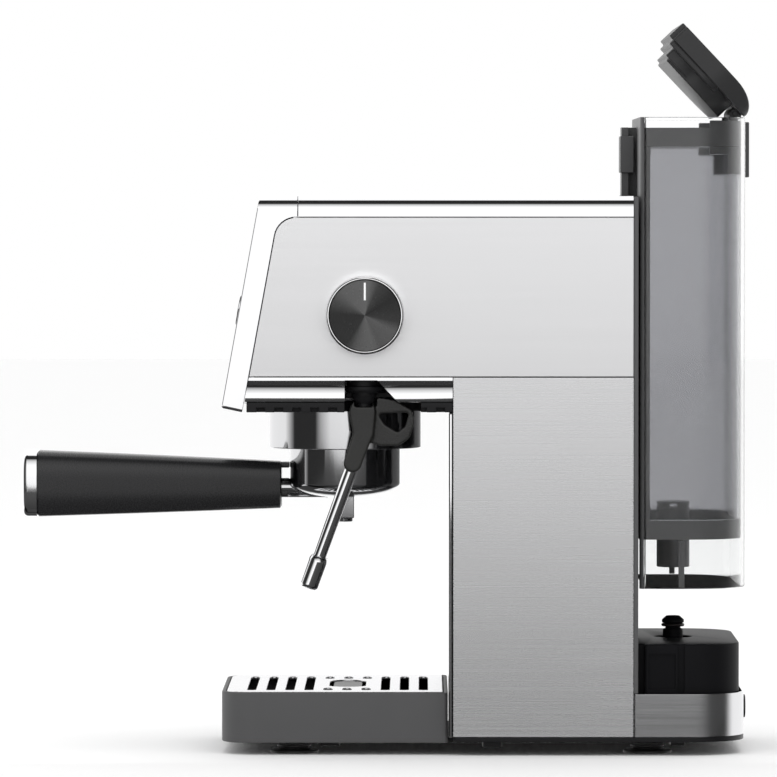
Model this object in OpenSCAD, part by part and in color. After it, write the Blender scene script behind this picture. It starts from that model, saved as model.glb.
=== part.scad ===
// Slim pump espresso machine with a side steam knob and a lift-off rear water tank.
// Millimetres. +Z is up, -Y is the front where the handle points, +X is the side with the knob.
// The origin is on the counter, at the centre of the rectangle of the four feet.

/* [Casing] */
// Width of the casing
body_w = 150; // [130:1:180]
// Height of the casing above the counter
body_h = 308.6; // [290:0.1:380]
// Depth of the column, front to back
column_d = 99.4; // [82:0.1:122]
// Distance of the column's front face in front of the origin
column_front = 10; // [6:0.5:20]
// Height of the head, from its underside to its top
head_h = 119.3; // [115:0.1:135]
// How far the head reaches in front of the column, at its underside
head_reach = 127.8; // [118:0.1:150]
// Lean of the front, back from upright, in degrees
front_lean = 10.3; // [4:0.1:16]
// Depth of the bright band that frames each side of the front
fascia_band = 12; // [8:0.5:18]
// Height of the bright band round the top
top_band = 11.7; // [8:0.1:16]
// Height of the bright skirt round the bottom of the head
skirt_h = 14; // [10:0.5:18]
// Thickness of the black plate under the head
underside_t = 5.5; // [4:0.1:8]
// Thickness of the steel side sheets
sheet_t = 1; // [0.6:0.1:1.5]
// Wall of the moulded covers
cover_t = 2.4; // [1.6:0.1:3]

/* [Base] */
// Height of a foot
foot_h = 6.2; // [4:0.1:10]
// Radius of a foot where it stands
foot_r = 13.5; // [10:0.5:16]
// Distance between the left and right feet
foot_pitch_x = 96; // [80:1:100]
// Distance between the front and rear feet
foot_pitch_y = 195.8; // [164:0.1:216]
// Thickness of the base plate
base_t = 2.8; // [2:0.1:4]
// Height of the steel strip round the tank seat
strip_h = 23.7; // [16:0.1:30]

/* [Drip tray] */
// Width of the drip tray
tray_w = 140; // [134:1:150]
// Depth of the drip tray, front to back
tray_d = 125.1; // [118:0.1:150]
// Height of the drip tray's rim above the counter
tray_top = 34.5; // [28:0.1:42]
// Radius of the tray's front corners
tray_corner = 17; // [6:0.5:24]
// Number of rows of slots in the grate
slot_rows = 10; // [7:1:11]
// Distance between the rows of slots
slot_pitch = 10.6; // [9:0.1:11]
// Width of a slot
slot_w = 5; // [3:0.1:6]
// Length of a full slot
slot_l = 107; // [90:1:112]

/* [Brew group] */
// Distance of the group's axis in front of the column
group_reach = 60.3; // [56:0.1:64]
// Outer radius of the group's collar
collar_r = 42.6; // [41:0.1:46]
// Height of the collar below the head
collar_h = 21.8; // [21:0.1:26]
// Outer radius of the filter holder
holder_r = 31.05; // [29:0.05:31.5]
// Length of the handle's grip
grip_l = 136.3; // [110:0.1:165]
// Radius of the filter basket
basket_r = 28.3; // [25:0.1:28.4]
// Depth of the filter basket
basket_h = 25; // [20:0.5:26]

/* [Steam] */
// Radius of the steam knob
knob_r = 21.35; // [17:0.05:26]
// Depth of the steam knob
knob_d = 17; // [12:0.5:22]
// Radius of the steam spindle
spindle_r = 3; // [2.5:0.1:4]
// Radius of the steam wand's ball
ball_r = 7; // [6:0.1:7.5]
// Outer radius of the steam tube
tube_r = 3.65; // [3:0.05:4]
// Length of the straight part of the steam tube
tube_l = 90; // [70:1:100]

/* [Water tank] */
// Depth of the tank, front to back
tank_d = 59.2; // [52:0.1:72]
// Radius of the tank's rear corners
tank_corner = 31; // [10:0.5:34]
// Wall of the clear outer tank
shell_t = 2; // [1.4:0.1:2.6]
// Wall of the smoked inner tank
vessel_t = 1.8; // [1.2:0.1:2.4]
// Height of the seat that the tank slides over
seat_h = 27.3; // [22:0.1:32]
// How far the tank is lifted off its seat in this pose
tank_lift = 57.2; // [0:0.1:70]
// How far the lid is open in this pose, in degrees
lid_open = 46.7; // [0:0.1:48]
// Thickness of the lid's outer cover
lid_t = 10.5; // [8:0.1:13]

/* [Buttons] */
// Radius of a front button
button_r = 9.9; // [7:0.1:12]
// Distance between the front buttons
button_pitch = 34; // [28:1:40]

/* [Hidden] */
$fn = 64;

// Clearances
part_gap = 0.3;   // between fixed pieces that only lie beside each other
slide_gap = 0.8;  // beside a piece that slides
run_gap = 0.06;   // round a shaft that turns in a bore
eps = 0.5;        // how far a cut runs past the face it opens

// Heights
base_z = foot_h + 1.2;
panel_z = base_z + base_t;
strip_z = panel_z + strip_h;
seat_z = strip_z + seat_h;
under_z = body_h - head_h;
plate_z = under_z + underside_t;
seam_z = plate_z + skirt_h;
trim_z = body_h - top_band;

// Places along Y
col_y = -column_front;
rear_y = col_y + column_d;
wall_y = rear_y + 2.6;
front_y = col_y - head_reach;
front_z = under_z + 2.4;
group_y = col_y - group_reach;
half_w = body_w / 2;

// The front leans back as it rises
function out_y(z) = front_y + (z - front_z) * tan(front_lean);
function in_y(z) = out_y(z) + fascia_band;
trim_r = 12.4;
trim_cut = trim_r * tan(45 - front_lean / 2);
fascia_end = in_y(trim_z) + trim_cut + 0.7;
function arc(c, r, from, to, n = 8) =
    [for (i = [0:n]) c + r * [cos(from + (to - from) * i / n), sin(from + (to - from) * i / n)]];

// Extrudes a profile drawn in Y and Z from x0 to x1
module across(x0, x1)
    translate([x0, 0, 0]) rotate([90, 0, 90]) linear_extrude(x1 - x0) children();

// Extrudes a profile drawn in X and Z from y0 to y1
module along(y0, y1)
    translate([0, y1, 0]) rotate([90, 0, 0]) linear_extrude(y1 - y0) children();

// A box given by its half width in X and its ends in Y and Z
module block(hx, y0, y1, z0, z1)
    translate([-hx, y0, z0]) cube([2 * hx, y1 - y0, z1 - z0]);

// A plan with its own radius on the front and on the rear corners
module plan(hx, y0, y1, rf, rr) {
    for (s = [-1, 1]) translate([s * (hx - rf), y0 + rf]) circle(rf);
    intersection() {
        for (s = [-1, 1]) translate([s * (hx - rr), y1 - rr]) circle(rr);
        translate([-hx, y0 + rf]) square([2 * hx, y1 - y0]);
    }
    translate([rf - hx, y0]) square([2 * (hx - rf), y1 - y0 - rr]);
    translate([rr - hx, y0 + rf]) square([2 * (hx - rr), y1 - y0 - rf]);
    translate([-hx, y0 + rf]) square([2 * hx, y1 - y0 - rf - rr]);
}

module slab(hx, y0, y1, rf, rr, z0, z1)
    translate([0, 0, z0]) linear_extrude(z1 - z0) plan(hx, y0, y1, rf, rr);

// A rod from one point to another
module rod(a, b, r) {
    d = b - a;
    translate(a) rotate([0, acos(d[2] / norm(d)), atan2(d[1], d[0])]) cylinder(r = r, h = norm(d));
}

// A hose through a list of points. Each ring's frame is carried on from the ring before it.
function unit(v) = v / norm(v);
function aims(p) = [for (i = [0:len(p) - 1])
    unit((i == 0 ? [0, 0, 0] : unit(p[i] - p[i - 1]))
        + (i == len(p) - 1 ? [0, 0, 0] : unit(p[i + 1] - p[i])))];
function carried(t, n) = len(n) == len(t) ? n
    : carried(t, concat(n, [unit(n[len(n) - 1] - (n[len(n) - 1] * t[len(n)]) * t[len(n)])]));
module hose(p, r, sides = 10) {
    t = aims(p);
    n = carried(t, [unit(cross(t[0], [0.31, 0.87, 0.12]))]);
    points = [for (i = [0:len(p) - 1]) for (k = [0:sides - 1])
        p[i] + r * (n[i] * cos(k * 360 / sides) + cross(t[i], n[i]) * sin(k * 360 / sides))];
    walls = [for (i = [0:len(p) - 2]) for (k = [0:sides - 1])
        [i * sides + k, (i + 1) * sides + k, (i + 1) * sides + (k + 1) % sides,
            i * sides + (k + 1) % sides]];
    ends = [[for (k = [0:sides - 1]) k], [for (k = [1:sides]) len(p) * sides - k]];
    polyhedron(points, concat(walls, ends), convexity = 4);
}

// Turned pieces that lie along X
module turned(x, y, z) translate([x, y, z]) rotate([0, 90, 0]) children();

// ---------------------------------------------------------------- base

stem_r = 4;
tongue_hw = 60;
tongue_front = -foot_pitch_y / 2 - foot_r - 2;
module each_foot() for (x = [-1, 1], y = [-1, 1])
    translate([x * foot_pitch_x / 2, y * foot_pitch_y / 2, 0]) children();

tank_y = wall_y + slide_gap;
tank_end = tank_y + tank_d;
base_end = tank_end - 0.6;
module each_base_screw() for (x = [-1, 1], y = [col_y + 14, rear_y - 14])
    translate([x * (half_w - 12), y, 0]) children();

module base_plate() {
    pad_x = half_w - 12;
    color("dimgray") difference() {
        union() {
            slab(half_w, col_y, base_end, 2, tank_corner, base_z, panel_z);
            slab(tongue_hw, tongue_front, col_y + 4, 8, 2, foot_h, foot_h + base_t);
            each_foot() translate([0, 0, foot_h]) cylinder(r = 11, h = 2);
            for (s = [-1, 1]) {
                translate([s * pad_x - 6, col_y + 16.4, base_z - 3.2]) cube([12, 10.4, 4]);
                translate([s * (pad_x - 12) - 6, base_end - 41, base_z - 3.2]) cube([12, 8, 4]);
                translate([s * (tongue_hw - 7) - 5, col_y - 73.5, foot_h - 2]) cube([10, 10.8, 3]);
            }
        }
        each_foot() cylinder(r = stem_r, h = 20);
        each_base_screw() translate([0, 0, base_z - eps]) cylinder(r = 2, h = base_t + 2);
        each_base_screw() translate([0, 0, base_z - eps]) cylinder(r = 3.8, h = 1.6 + eps);
    }
}

module feet() {
    lip = 1.4;
    color("black") each_foot() {
        difference() {
            union() {
                cylinder(r = foot_r, h = lip);
                translate([0, 0, lip]) cylinder(r1 = foot_r - 0.4, r2 = 10.3, h = foot_h - lip);
            }
            translate([0, 0, -eps]) cylinder(r = foot_r - 4, h = 0.6 + eps);
        }
        cylinder(r = stem_r - 0.05, h = foot_h + base_t - 0.1);
    }
}

// The four base screws, and the one that holds the shower screen
module screws()
    color("silver") {
        each_base_screw() {
            translate([0, 0, base_z]) cylinder(r = 3.5, h = 1.5);
            translate([0, 0, base_z + 1]) cylinder(r = 1.8, h = 11);
        }
        translate([0, group_y, head_z - 3]) cylinder(r = 4, h = 1.35);
        translate([0, group_y, head_z - 2]) cylinder(r = 2, h = 9);
    }

strip_t = 1.2;
gland_z = panel_z + strip_h / 2;
module base_strip()
    color("gainsboro") difference() {
        slab(half_w, rear_y + part_gap, base_end, 1, tank_corner, panel_z, strip_z);
        slab(half_w - strip_t, rear_y - 5, base_end - strip_t, 1, tank_corner - strip_t,
            panel_z - eps, strip_z + eps);
        along(base_end - 5, base_end + 5) translate([0, gland_z]) circle(6.6);
    }

// The seat carries the tank. Its well takes the tank's valve, round the water inlet.
well_r = 10.6;
hose_r = 3.4;
hose_z = panel_z + 4.5;
well_z = seat_z - 20.2;
inlet_y = tank_y + 21;
seat_hw = half_w - 1 - shell_t - 1;
seat_end = tank_end - shell_t - 1.2;
key_hw = 2;
key_y = tank_y + 23;
module tank_seat()
    color("black") difference() {
        union() {
            slab(half_w - strip_t - part_gap, wall_y + part_gap, base_end - strip_t - part_gap, 1,
                tank_corner - strip_t - part_gap, panel_z, strip_z);
            slab(seat_hw, tank_y + shell_t + slide_gap, seat_end, 2, tank_corner - 4,
                strip_z - 1, seat_z);
            block(seat_hw - 6, wall_y + part_gap, tank_y + 10, strip_z - 1, seat_z);
        }
        difference() {
            slab(seat_hw - 3, wall_y + 4, seat_end - 3, 2, tank_corner - 8,
                panel_z - eps, seat_z - 3);
            translate([0, inlet_y, 0]) cylinder(r = well_r + 2.4, h = seat_z);
        }
        translate([0, inlet_y, well_z]) cylinder(r = well_r, h = seat_z);
        translate([0, inlet_y, 0]) cylinder(r = 5, h = seat_z);
        block(hose_r + slide_gap, wall_y - 1, inlet_y, panel_z - eps, hose_z + hose_r + slide_gap);
        for (s = [-1, 1]) {
            translate([s * seat_hw - 1.6, key_y - key_hw, strip_z]) cube([3.2, 2 * key_hw, seat_h + 1]);
            translate([s * seat_hw - 0.8, tank_y + 5, strip_z + 2.5]) cube([1.6, 15, seat_h - 8]);
        }
        along(base_end - 9, base_end + 5) translate([0, gland_z]) circle(6.6);
    }

post_top = seat_z + 11.7;
module water_inlet_post()
    color("black") difference() {
        union() {
            translate([0, inlet_y, well_z]) cylinder(r = 5.6, h = post_top - well_z - 2);
            translate([0, inlet_y, post_top - 2]) cylinder(r1 = 5.6, r2 = 3.6, h = 2);
            translate([0, inlet_y, well_z]) cylinder(r = well_r - 0.4, h = 1.6);
            translate([0, inlet_y, well_z - 9]) cylinder(r = 4.8, h = 10);
        }
        translate([0, inlet_y, well_z - 10]) cylinder(r = 2.2, h = 60);
        translate([0, inlet_y, post_top - 5.2]) rotate_extrude() translate([5.6, 0]) circle(0.9);
    }

module inlet_seal()
    color("red") translate([0, inlet_y, post_top - 5.2])
        rotate_extrude() translate([5.65, 0]) circle(0.85);

module cord_gland()
    color("black") along(base_end - 6.4, base_end + 3) translate([0, gland_z]) difference() {
        circle(6.5);
        circle(3.6);
    }

// ---------------------------------------------------------------- casing

frame_hw = half_w - 4;
frame_t = 2.5;
floor_z = plate_z + 1.7;
knob_y = col_y - 48.5;
knob_z = seam_z + 34.2;
wand_x = half_w - 17;
wand_y = col_y - 49.3;
ball_z = under_z + 9.9;
wand_notch = 10.5;
loop_r = 31.5;
flange_w = 9;

// The space round the wand: open to the side, and wide enough for the swing of its finger loop
module wand_space()
    translate([wand_x, wand_y]) {
        circle(wand_notch + 1.5);
        polygon(concat([[40, -wand_notch], [14, -wand_notch], [10, -wand_notch - 2],
            [0, -wand_notch - 2], [-wand_notch - 2, 0]],
            [for (a = [57:-19:0]) loop_r * [-sin(a), cos(a)]], [[40, loop_r]]));
    }

module inner_frame()
    color("darkgray") difference() {
        union() {
            for (x = [-frame_hw, frame_hw - frame_t]) across(x, x + frame_t)
                polygon([[col_y + 3, panel_z], [rear_y - 3, panel_z], [rear_y - 3, trim_z - 1],
                    [in_y(trim_z) + 3, trim_z - 1], [in_y(floor_z) + 3, floor_z], [col_y + 3, floor_z]]);
            block(frame_hw, in_y(floor_z) + 3, rear_y - 3, floor_z, floor_z + frame_t);
            block(frame_hw, rear_y - 14, rear_y - 11.5, panel_z, trim_z - 1);
            block(frame_hw, in_y(trim_z) + 3, in_y(trim_z) + 9, trim_z - 5, trim_z - 1);
            each_base_screw() translate([0, 0, panel_z]) cylinder(r = 6, h = 14);
        }
        each_base_screw() translate([0, 0, panel_z - eps]) cylinder(r = 1.85, h = 12);
        translate([0, group_y, floor_z - eps]) cylinder(r = 38.6, h = 4);
        translate([0, 0, floor_z - eps]) linear_extrude(frame_t + 2 * eps) wand_space();
        translate([wand_x, wand_y - 15, floor_z - 2]) cube([20, 30, 19]);
        turned(frame_hw - 5, knob_y, knob_z) cylinder(r = 5, h = 10);
        block(10, rear_y - 15, rear_y - 10, panel_z - eps, panel_z + 26);
        // room for the groove behind the tank, and for the front flanges of the side sheets
        block(groove_hw + groove_wall + part_gap, groove_y - groove_wall - part_gap, rear_y,
            floor_z - eps, floor_z + frame_t + eps);
        for (s = [-1, 1]) translate([s * half_w - flange_w - part_gap, col_y - part_gap, floor_z - eps])
            cube([2 * (flange_w + part_gap), sheet_t + 2 * part_gap, seam_z - floor_z + 2 * eps]);
        translate([-34, col_y + 22, floor_z - eps]) cylinder(r = 4, h = 5);
        translate([22, group_y + 40, floor_z - eps]) cylinder(r = 4, h = 5);
    }

module side_panel()
    difference() {
        translate([half_w - flange_w, col_y, panel_z])
            cube([flange_w, column_d, seam_z - panel_z - part_gap]);
        translate([half_w - flange_w - eps, col_y + sheet_t, panel_z - eps])
            cube([flange_w + eps - sheet_t, column_d - 2 * sheet_t, seam_z]);
    }
module left_side_panel() color("silver") mirror([1, 0, 0]) side_panel();
module right_side_panel() color("silver") side_panel();

module upper_outline()
    polygon(concat([[in_y(seam_z) + part_gap, seam_z], [rear_y, seam_z], [rear_y, trim_z - part_gap]],
        arc([in_y(trim_z) + trim_cut + part_gap, trim_z - part_gap - trim_r], trim_r, 90,
            180 - front_lean)));
module left_upper_panel() color("whitesmoke") across(-half_w, sheet_t - half_w) upper_outline();
module right_upper_panel()
    color("whitesmoke") difference() {
        across(half_w - sheet_t, half_w) upper_outline();
        turned(half_w - 5, knob_y, knob_z) cylinder(r = 6, h = 10);
    }

front_panel_t = 2.4;
module column_front()
    color([0.12, 0.12, 0.12])
        block(half_w - 0.8, col_y - front_panel_t, col_y - 0.05, panel_z, under_z - part_gap);
module column_trims()
    color("silver") for (s = [-1, 1])
        translate([s * (half_w - 0.3) - 0.5, col_y - 1.8, panel_z]) cube([1, 1.1, under_z - panel_z - 1]);

// The wall behind the tank, with the deep groove that the tank's tongue slides in
groove_hw = 15;
groove_y = rear_y - 9;
groove_wall = 2;
groove_z = seat_z + 100;
lid_z = body_h - lid_t;
module rear_wall()
    color("dimgray") difference() {
        union() {
            block(half_w, rear_y + 0.05, wall_y, strip_z + part_gap, body_h - 0.6);
            block(groove_hw + groove_wall, groove_y - groove_wall, wall_y, groove_z - groove_wall,
                lid_z - 0.7);
        }
        block(groove_hw, groove_y, wall_y + eps, groove_z, body_h);
        block(half_w - 2.8, rear_y - eps, wall_y + eps, lid_z - 0.7, body_h);
    }

window_hw = half_w - 20;
window_lo = -34;
window_hi = 38;
panel_t = 3;
// Places a piece on the leaning front: X across, Z up the slope, Y into the casing
module on_front()
    translate([0, (out_y(front_z) + out_y(body_h)) / 2, (front_z + body_h) / 2])
        rotate([-front_lean, 0, 0]) children();

module front_fascia() {
    edge_r = 5;
    edge_c = [out_y(body_h - edge_r) + edge_r / cos(front_lean), body_h - edge_r];
    wall = cover_t / cos(front_lean);
    color("silver") difference() {
        across(-half_w, half_w) polygon(concat(
            [[fascia_end, body_h]],
            arc(edge_c, edge_r, 90, 180 - front_lean),
            [[front_y, front_z], [in_y(under_z), under_z]],
            arc([in_y(trim_z) + trim_cut, trim_z - trim_r], trim_r, 180 - front_lean, 90),
            [[fascia_end, trim_z]]));
        across(cover_t - half_w, half_w - cover_t) polygon([
            [out_y(front_z + cover_t) + wall, front_z + cover_t],
            [out_y(body_h - cover_t) + wall, body_h - cover_t],
            [fascia_end + 5, body_h - cover_t], [fascia_end + 5, under_z - 5],
            [in_y(under_z) - 4, under_z - 5], [in_y(front_z) - 4, front_z + cover_t]]);
        on_front() block(window_hw, -10, 10, window_lo, window_hi);
    }
}

button_x = [-button_pitch, 0, button_pitch];
button_v = -4;
light_v = 16;
module control_panel()
    color([0.08, 0.08, 0.09]) on_front() difference() {
        union() {
            block(window_hw - 0.2, 0.2, panel_t, window_lo + 0.2, window_hi - 0.2);
            block(window_hw + 5, cover_t + 0.1, cover_t + 2.1, window_lo - 5, window_hi + 5);
        }
        for (x = button_x) {
            along(-5, 12) translate([x, button_v]) circle(button_r + 0.35);
            along(-5, 12) translate([x, light_v]) circle(1.8);
        }
    }

module indicator_lights()
    color("lightblue") on_front() for (x = button_x)
        along(0.1, 6) translate([x, light_v]) circle(1.75);

module button(x)
    color("gainsboro") on_front() {
        along(-1.6, 6.5) translate([x, button_v]) circle(button_r);
        along(5.2, 6.8) translate([x, button_v]) circle(button_r + 1.6);
    }
module power_button() button(button_x[0]);
module coffee_button() button(button_x[1]);
module steam_button() button(button_x[2]);

module control_board()
    color("darkgreen") on_front() {
        block(window_hw - 2, 16, 17.6, window_lo + 3, window_hi - 3);
        for (x = button_x) translate([x - 3.5, 9.4, button_v - 3.5]) cube([7, 6.8, 7]);
        for (x = [-40, 18]) translate([x, 17.4, window_lo + 8]) cube([22, 9, 16]);
    }

// How far the recess for the cups' plate lies from the top's edges, and how thick the plate is
warmer_side = 14;
warmer_front = 12;
warmer_rear = 18;
warmer_t = 1.15;
module top_cover()
    color("silver") difference() {
        block(half_w, fascia_end + 0.25, rear_y, trim_z, body_h);
        block(half_w - cover_t, fascia_end - 5, rear_y + 5, trim_z - eps, body_h - cover_t);
        block(half_w - warmer_side, fascia_end + warmer_front, rear_y - warmer_rear,
            body_h - warmer_t - 0.05, body_h + eps);
        block(groove_hw + groove_wall + 0.4, groove_y - groove_wall - 0.4, rear_y + 5,
            trim_z - eps, body_h + eps);
    }

module cup_warmer() {
    fit = 0.2;
    rows = 9;
    step = (rear_y - fascia_end - 44) / rows;
    color("gainsboro") difference() {
        block(half_w - warmer_side - fit, fascia_end + warmer_front + fit, rear_y - warmer_rear - fit,
            body_h - warmer_t, body_h - 0.05);
        for (i = [0:rows]) block(30, fascia_end + 17 + i * step, fascia_end + 19 + i * step,
            body_h - warmer_t - eps, body_h - 0.45);
    }
}

skirt_t = 2;
module head_skirt()
    color("silver") difference() {
        across(-half_w, half_w) polygon([[in_y(plate_z) + part_gap, plate_z],
            [col_y - part_gap, plate_z], [col_y - part_gap, seam_z - part_gap],
            [in_y(seam_z) + part_gap, seam_z - part_gap]]);
        block(half_w - skirt_t, front_y, col_y + 1, plate_z - eps, seam_z + eps);
        across(wand_x, half_w + eps) polygon([[wand_y - wand_notch, plate_z - eps],
            [wand_y - wand_notch, seam_z - 1.5], [wand_y + 7.5, seam_z - 1.5],
            [wand_y + 19, plate_z - eps]]);
    }

module head_underside() {
    tooth_pitch = 9.9;
    tooth_gap = 4.6;
    teeth = floor((col_y - in_y(under_z) - 12) / tooth_pitch);
    color([0.1, 0.1, 0.1]) difference() {
        block(half_w - 0.6, in_y(plate_z) + 1.4, col_y - part_gap, under_z, plate_z - 0.05);
        for (i = [0:teeth]) for (s = [-1, 1])
            translate([s * half_w - 5, in_y(under_z) + 8 + tooth_pitch * i, under_z - eps])
                cube([10, tooth_gap, 3]);
        translate([0, group_y, under_z - eps]) cylinder(r = 37, h = 10);
        translate([0, 0, under_z - eps]) linear_extrude(10) wand_space();
    }
}

// ---------------------------------------------------------------- inside

pump_x = -34;
pump_y = col_y + 42;
module pump()
    color("lightgray") translate([pump_x, pump_y, panel_z + 18]) {
        translate([-19, -19, 14]) cube([38, 38, 34]);
        cylinder(r = 13, h = 14);
        translate([0, 0, -8]) cylinder(r = 4, h = 8);
        translate([0, 0, 48]) cylinder(r = 11, h = 16);
        translate([0, 0, 64]) cylinder(r = 5, h = 10);
    }
module pump_mounts()
    color([0.15, 0.15, 0.15]) difference() {
        union() {
            for (strap = [[20, 17], [68, 15]])
                translate([-frame_hw + frame_t, pump_y - 8, panel_z + strap[0]])
                    cube([frame_hw - frame_t + pump_x + strap[1], 16, 9]);
        }
        translate([pump_x, pump_y, panel_z + 10]) cylinder(r = 13.05, h = 25);
        translate([pump_x, pump_y, panel_z + 60]) cylinder(r = 11.05, h = 25);
    }

module suction_hose() {
    color([0.85, 0.85, 0.8]) hose([[0, inlet_y, well_z - 9.2], [0, inlet_y, hose_z + 6],
        [0, inlet_y - 2, hose_z + 2], [0, inlet_y - 6, hose_z], [0, rear_y - 5, hose_z],
        [-6, rear_y - 18, hose_z], [pump_x + 5, pump_y + 5, hose_z],
        [pump_x + 1.5, pump_y + 1.5, hose_z + 1], [pump_x, pump_y, hose_z + 3],
        [pump_x, pump_y, hose_z + 5.3]], hose_r);
}

brew_top = floor_z + 66;
module brew_pipe()
    color("white") hose([[pump_x, pump_y, panel_z + 92.1], [pump_x, pump_y, floor_z - 20],
        [pump_x, pump_y - 6, floor_z - 12], [pump_x, col_y + 26, floor_z - 7],
        [pump_x, col_y + 22, floor_z], [pump_x, col_y + 22, brew_top - 8],
        [pump_x + 2, col_y + 18, brew_top - 2], [pump_x + 6, col_y + 11, brew_top],
        [-4, group_y + 20, brew_top], [-1, group_y + 14, brew_top - 1],
        [0, group_y + 12, brew_top - 3.5], [0, group_y + 12, boiler_z + 55.25]], 2.6);

boiler_r = 33;
boiler_z = floor_z + 2.6;
module boiler()
    color("lightgray") translate([0, group_y, boiler_z]) {
        cylinder(r = 40, h = 5);
        translate([0, 0, 5]) cylinder(r = boiler_r, h = 42);
        translate([0, 0, 47]) cylinder(r1 = boiler_r, r2 = 22, h = 6);
        translate([0, 0, 20]) rotate_extrude() translate([boiler_r, 0]) circle(3.5);
        translate([0, 12, 50]) cylinder(r = 4, h = 5.2);
    }
module thermostats()
    color("tan") for (p = [[-9, -6], [10, -8]])
        translate([p[0], group_y + p[1], boiler_z + 53.05]) {
            cylinder(r = 7, h = 5);
            translate([-4, -1, 5]) cube([2, 2, 5]);
            translate([2, -1, 5]) cube([2, 2, 5]);
        }

head_r = 36.4;
collar_z = under_z - collar_h;
flange_t = 2.6;
head_z = collar_z + 9.5;
module group_head()
    color("lightgray") translate([0, group_y, 0]) difference() {
        translate([0, 0, head_z]) cylinder(r = head_r, h = boiler_z - head_z - 0.05);
        translate([0, 0, head_z - eps]) difference() {
            cylinder(r = 31.6, h = 2.6 + eps);
            translate([0, 0, -1]) cylinder(r = 27.4, h = 6);
        }
        translate([0, 0, head_z - eps]) cylinder(r = 2.05, h = 9);
        for (a = [0:45:315]) rotate([0, 0, a]) translate([14, 0, head_z - eps]) cylinder(r = 1.2, h = 40);
    }

module group_collar()
    color("silver") translate([0, group_y, 0]) difference() {
        translate([0, 0, collar_z]) cylinder(r = collar_r, h = collar_h - 0.05);
        translate([0, 0, collar_z + flange_t]) cylinder(r = head_r + 0.2, h = collar_h);
        translate([0, 0, collar_z - eps]) cylinder(r = holder_r + 0.85, h = 10);
        // gaps that let the holder's lugs in, a locking turn away from where they rest
        translate([0, 0, collar_z - eps]) rotate([0, 0, -45]) intersection() {
            cylinder(r = head_r + 0.1, h = 10);
            block(50, -15, 15, 0, 10);
        }
    }

module group_gasket()
    color([0.2, 0.2, 0.2]) translate([0, group_y, head_z - 1.4]) difference() {
        cylinder(r = 31.5, h = 3.9);
        translate([0, 0, -eps]) cylinder(r = 27.5, h = 6);
    }

module shower_screen()
    color("gainsboro") translate([0, group_y, head_z - 1.6]) difference() {
        cylinder(r = 26, h = 1.55);
        translate([0, 0, -eps]) cylinder(r = 2.1, h = 4);
        for (ring = [[8, 8], [14, 12], [20, 18]]) for (i = [1:ring[1]])
            rotate([0, 0, i * 360 / ring[1]]) translate([ring[0], 0, -eps]) cylinder(r = 0.9, h = 4);
    }

// ---------------------------------------------------------------- steam

valve_x = wand_x - 16;
module steam_valve()
    color("goldenrod") difference() {
        union() {
            turned(valve_x, knob_y, knob_z) cylinder(r = 10, h = 22);
            rod([boiler_r + 0.2, knob_y, knob_z], [valve_x + 1, knob_y, knob_z], 4);
            translate([valve_x + 8, knob_y, knob_z - 15]) cylinder(r = 4, h = 14);
        }
        turned(valve_x + 5, knob_y, knob_z) cylinder(r = spindle_r + run_gap, h = 40);
    }
module steam_pipe()
    color("lightgray") hose([[valve_x + 8, knob_y, knob_z - 15.05], [valve_x + 8, knob_y, ball_z + 23],
        [valve_x + 9, knob_y, ball_z + 20], [wand_x - 1, wand_y, ball_z + 18],
        [wand_x, wand_y, ball_z + 16], [wand_x, wand_y, ball_z + 13.2]], 2.8);

knob_x = half_w + 1.6;
module knob_axis() translate([knob_x, knob_y, knob_z]) rotate([0, 90, 0]) children();
module knob_ring()
    color("silver") knob_axis() difference() {
        union() {
            cylinder(r = knob_r, h = knob_d - 0.8);
            translate([0, 0, knob_d - 0.8]) cylinder(r1 = knob_r, r2 = knob_r - 0.8, h = 0.8);
        }
        translate([0, 0, -eps]) cylinder(r = knob_r - 1.6, h = knob_d + 2);
    }
module knob_core()
    color([0.1, 0.1, 0.1]) knob_axis() difference() {
        translate([0, 0, 0.4]) cylinder(r = knob_r - 1.65, h = knob_d - 2.6);
        translate([0, 0, -eps]) cylinder(r = spindle_r + 0.02, h = knob_d - 6);
        translate([0, 0, -eps]) difference() {
            cylinder(r = knob_r - 4, h = 6);
            cylinder(r = 8, h = 7);
        }
    }
module knob_face()
    color("dimgray") knob_axis() difference() {
        translate([0, 0, knob_d - 2.15]) cylinder(r = knob_r - 1.7, h = 1.75);
        translate([-knob_r + 3.2, -0.5, knob_d - 0.9]) cube([10, 1, 2]);
    }
module steam_spindle()
    color("goldenrod") turned(valve_x + 5.6, knob_y, knob_z)
        cylinder(r = spindle_r, h = knob_x + knob_d - 7 - valve_x - 5.6);

module at_ball() translate([wand_x, wand_y, ball_z]) children();
module wand_swivel()
    color([0.1, 0.1, 0.1]) at_ball() difference() {
        union() {
            translate([0, 0, 0.6]) cylinder(r = ball_r + 2.5, h = 12.4);
            translate([0, 0, 1.7]) cylinder(r = ball_r + 4.5, h = 2.4);
        }
        sphere(ball_r + 0.35);
        cylinder(r = 2, h = 20);
    }

// A stem drops from the ball, and the tube leans towards the front from its end
lean = 20.15;
bend = [0, 1.7, -18.4];
tube_end = bend + tube_l * [0, -sin(lean), -cos(lean)];
stem_l = 16.8;
module wand_ball()
    color([0.1, 0.1, 0.1]) at_ball() difference() {
        union() {
            sphere(ball_r);
            translate([0, 0, -stem_l]) cylinder(r = 4.4, h = stem_l);
        }
        translate([0, 0, -stem_l - 1]) cylinder(r = 2, h = 40);
    }
module wand_tube()
    color("silver") at_ball() difference() {
        rod(bend, tube_end, tube_r);
        rod(bend * 1.1 - tube_end * 0.1, tube_end * 1.1 - bend * 0.1, 2);
    }

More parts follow.
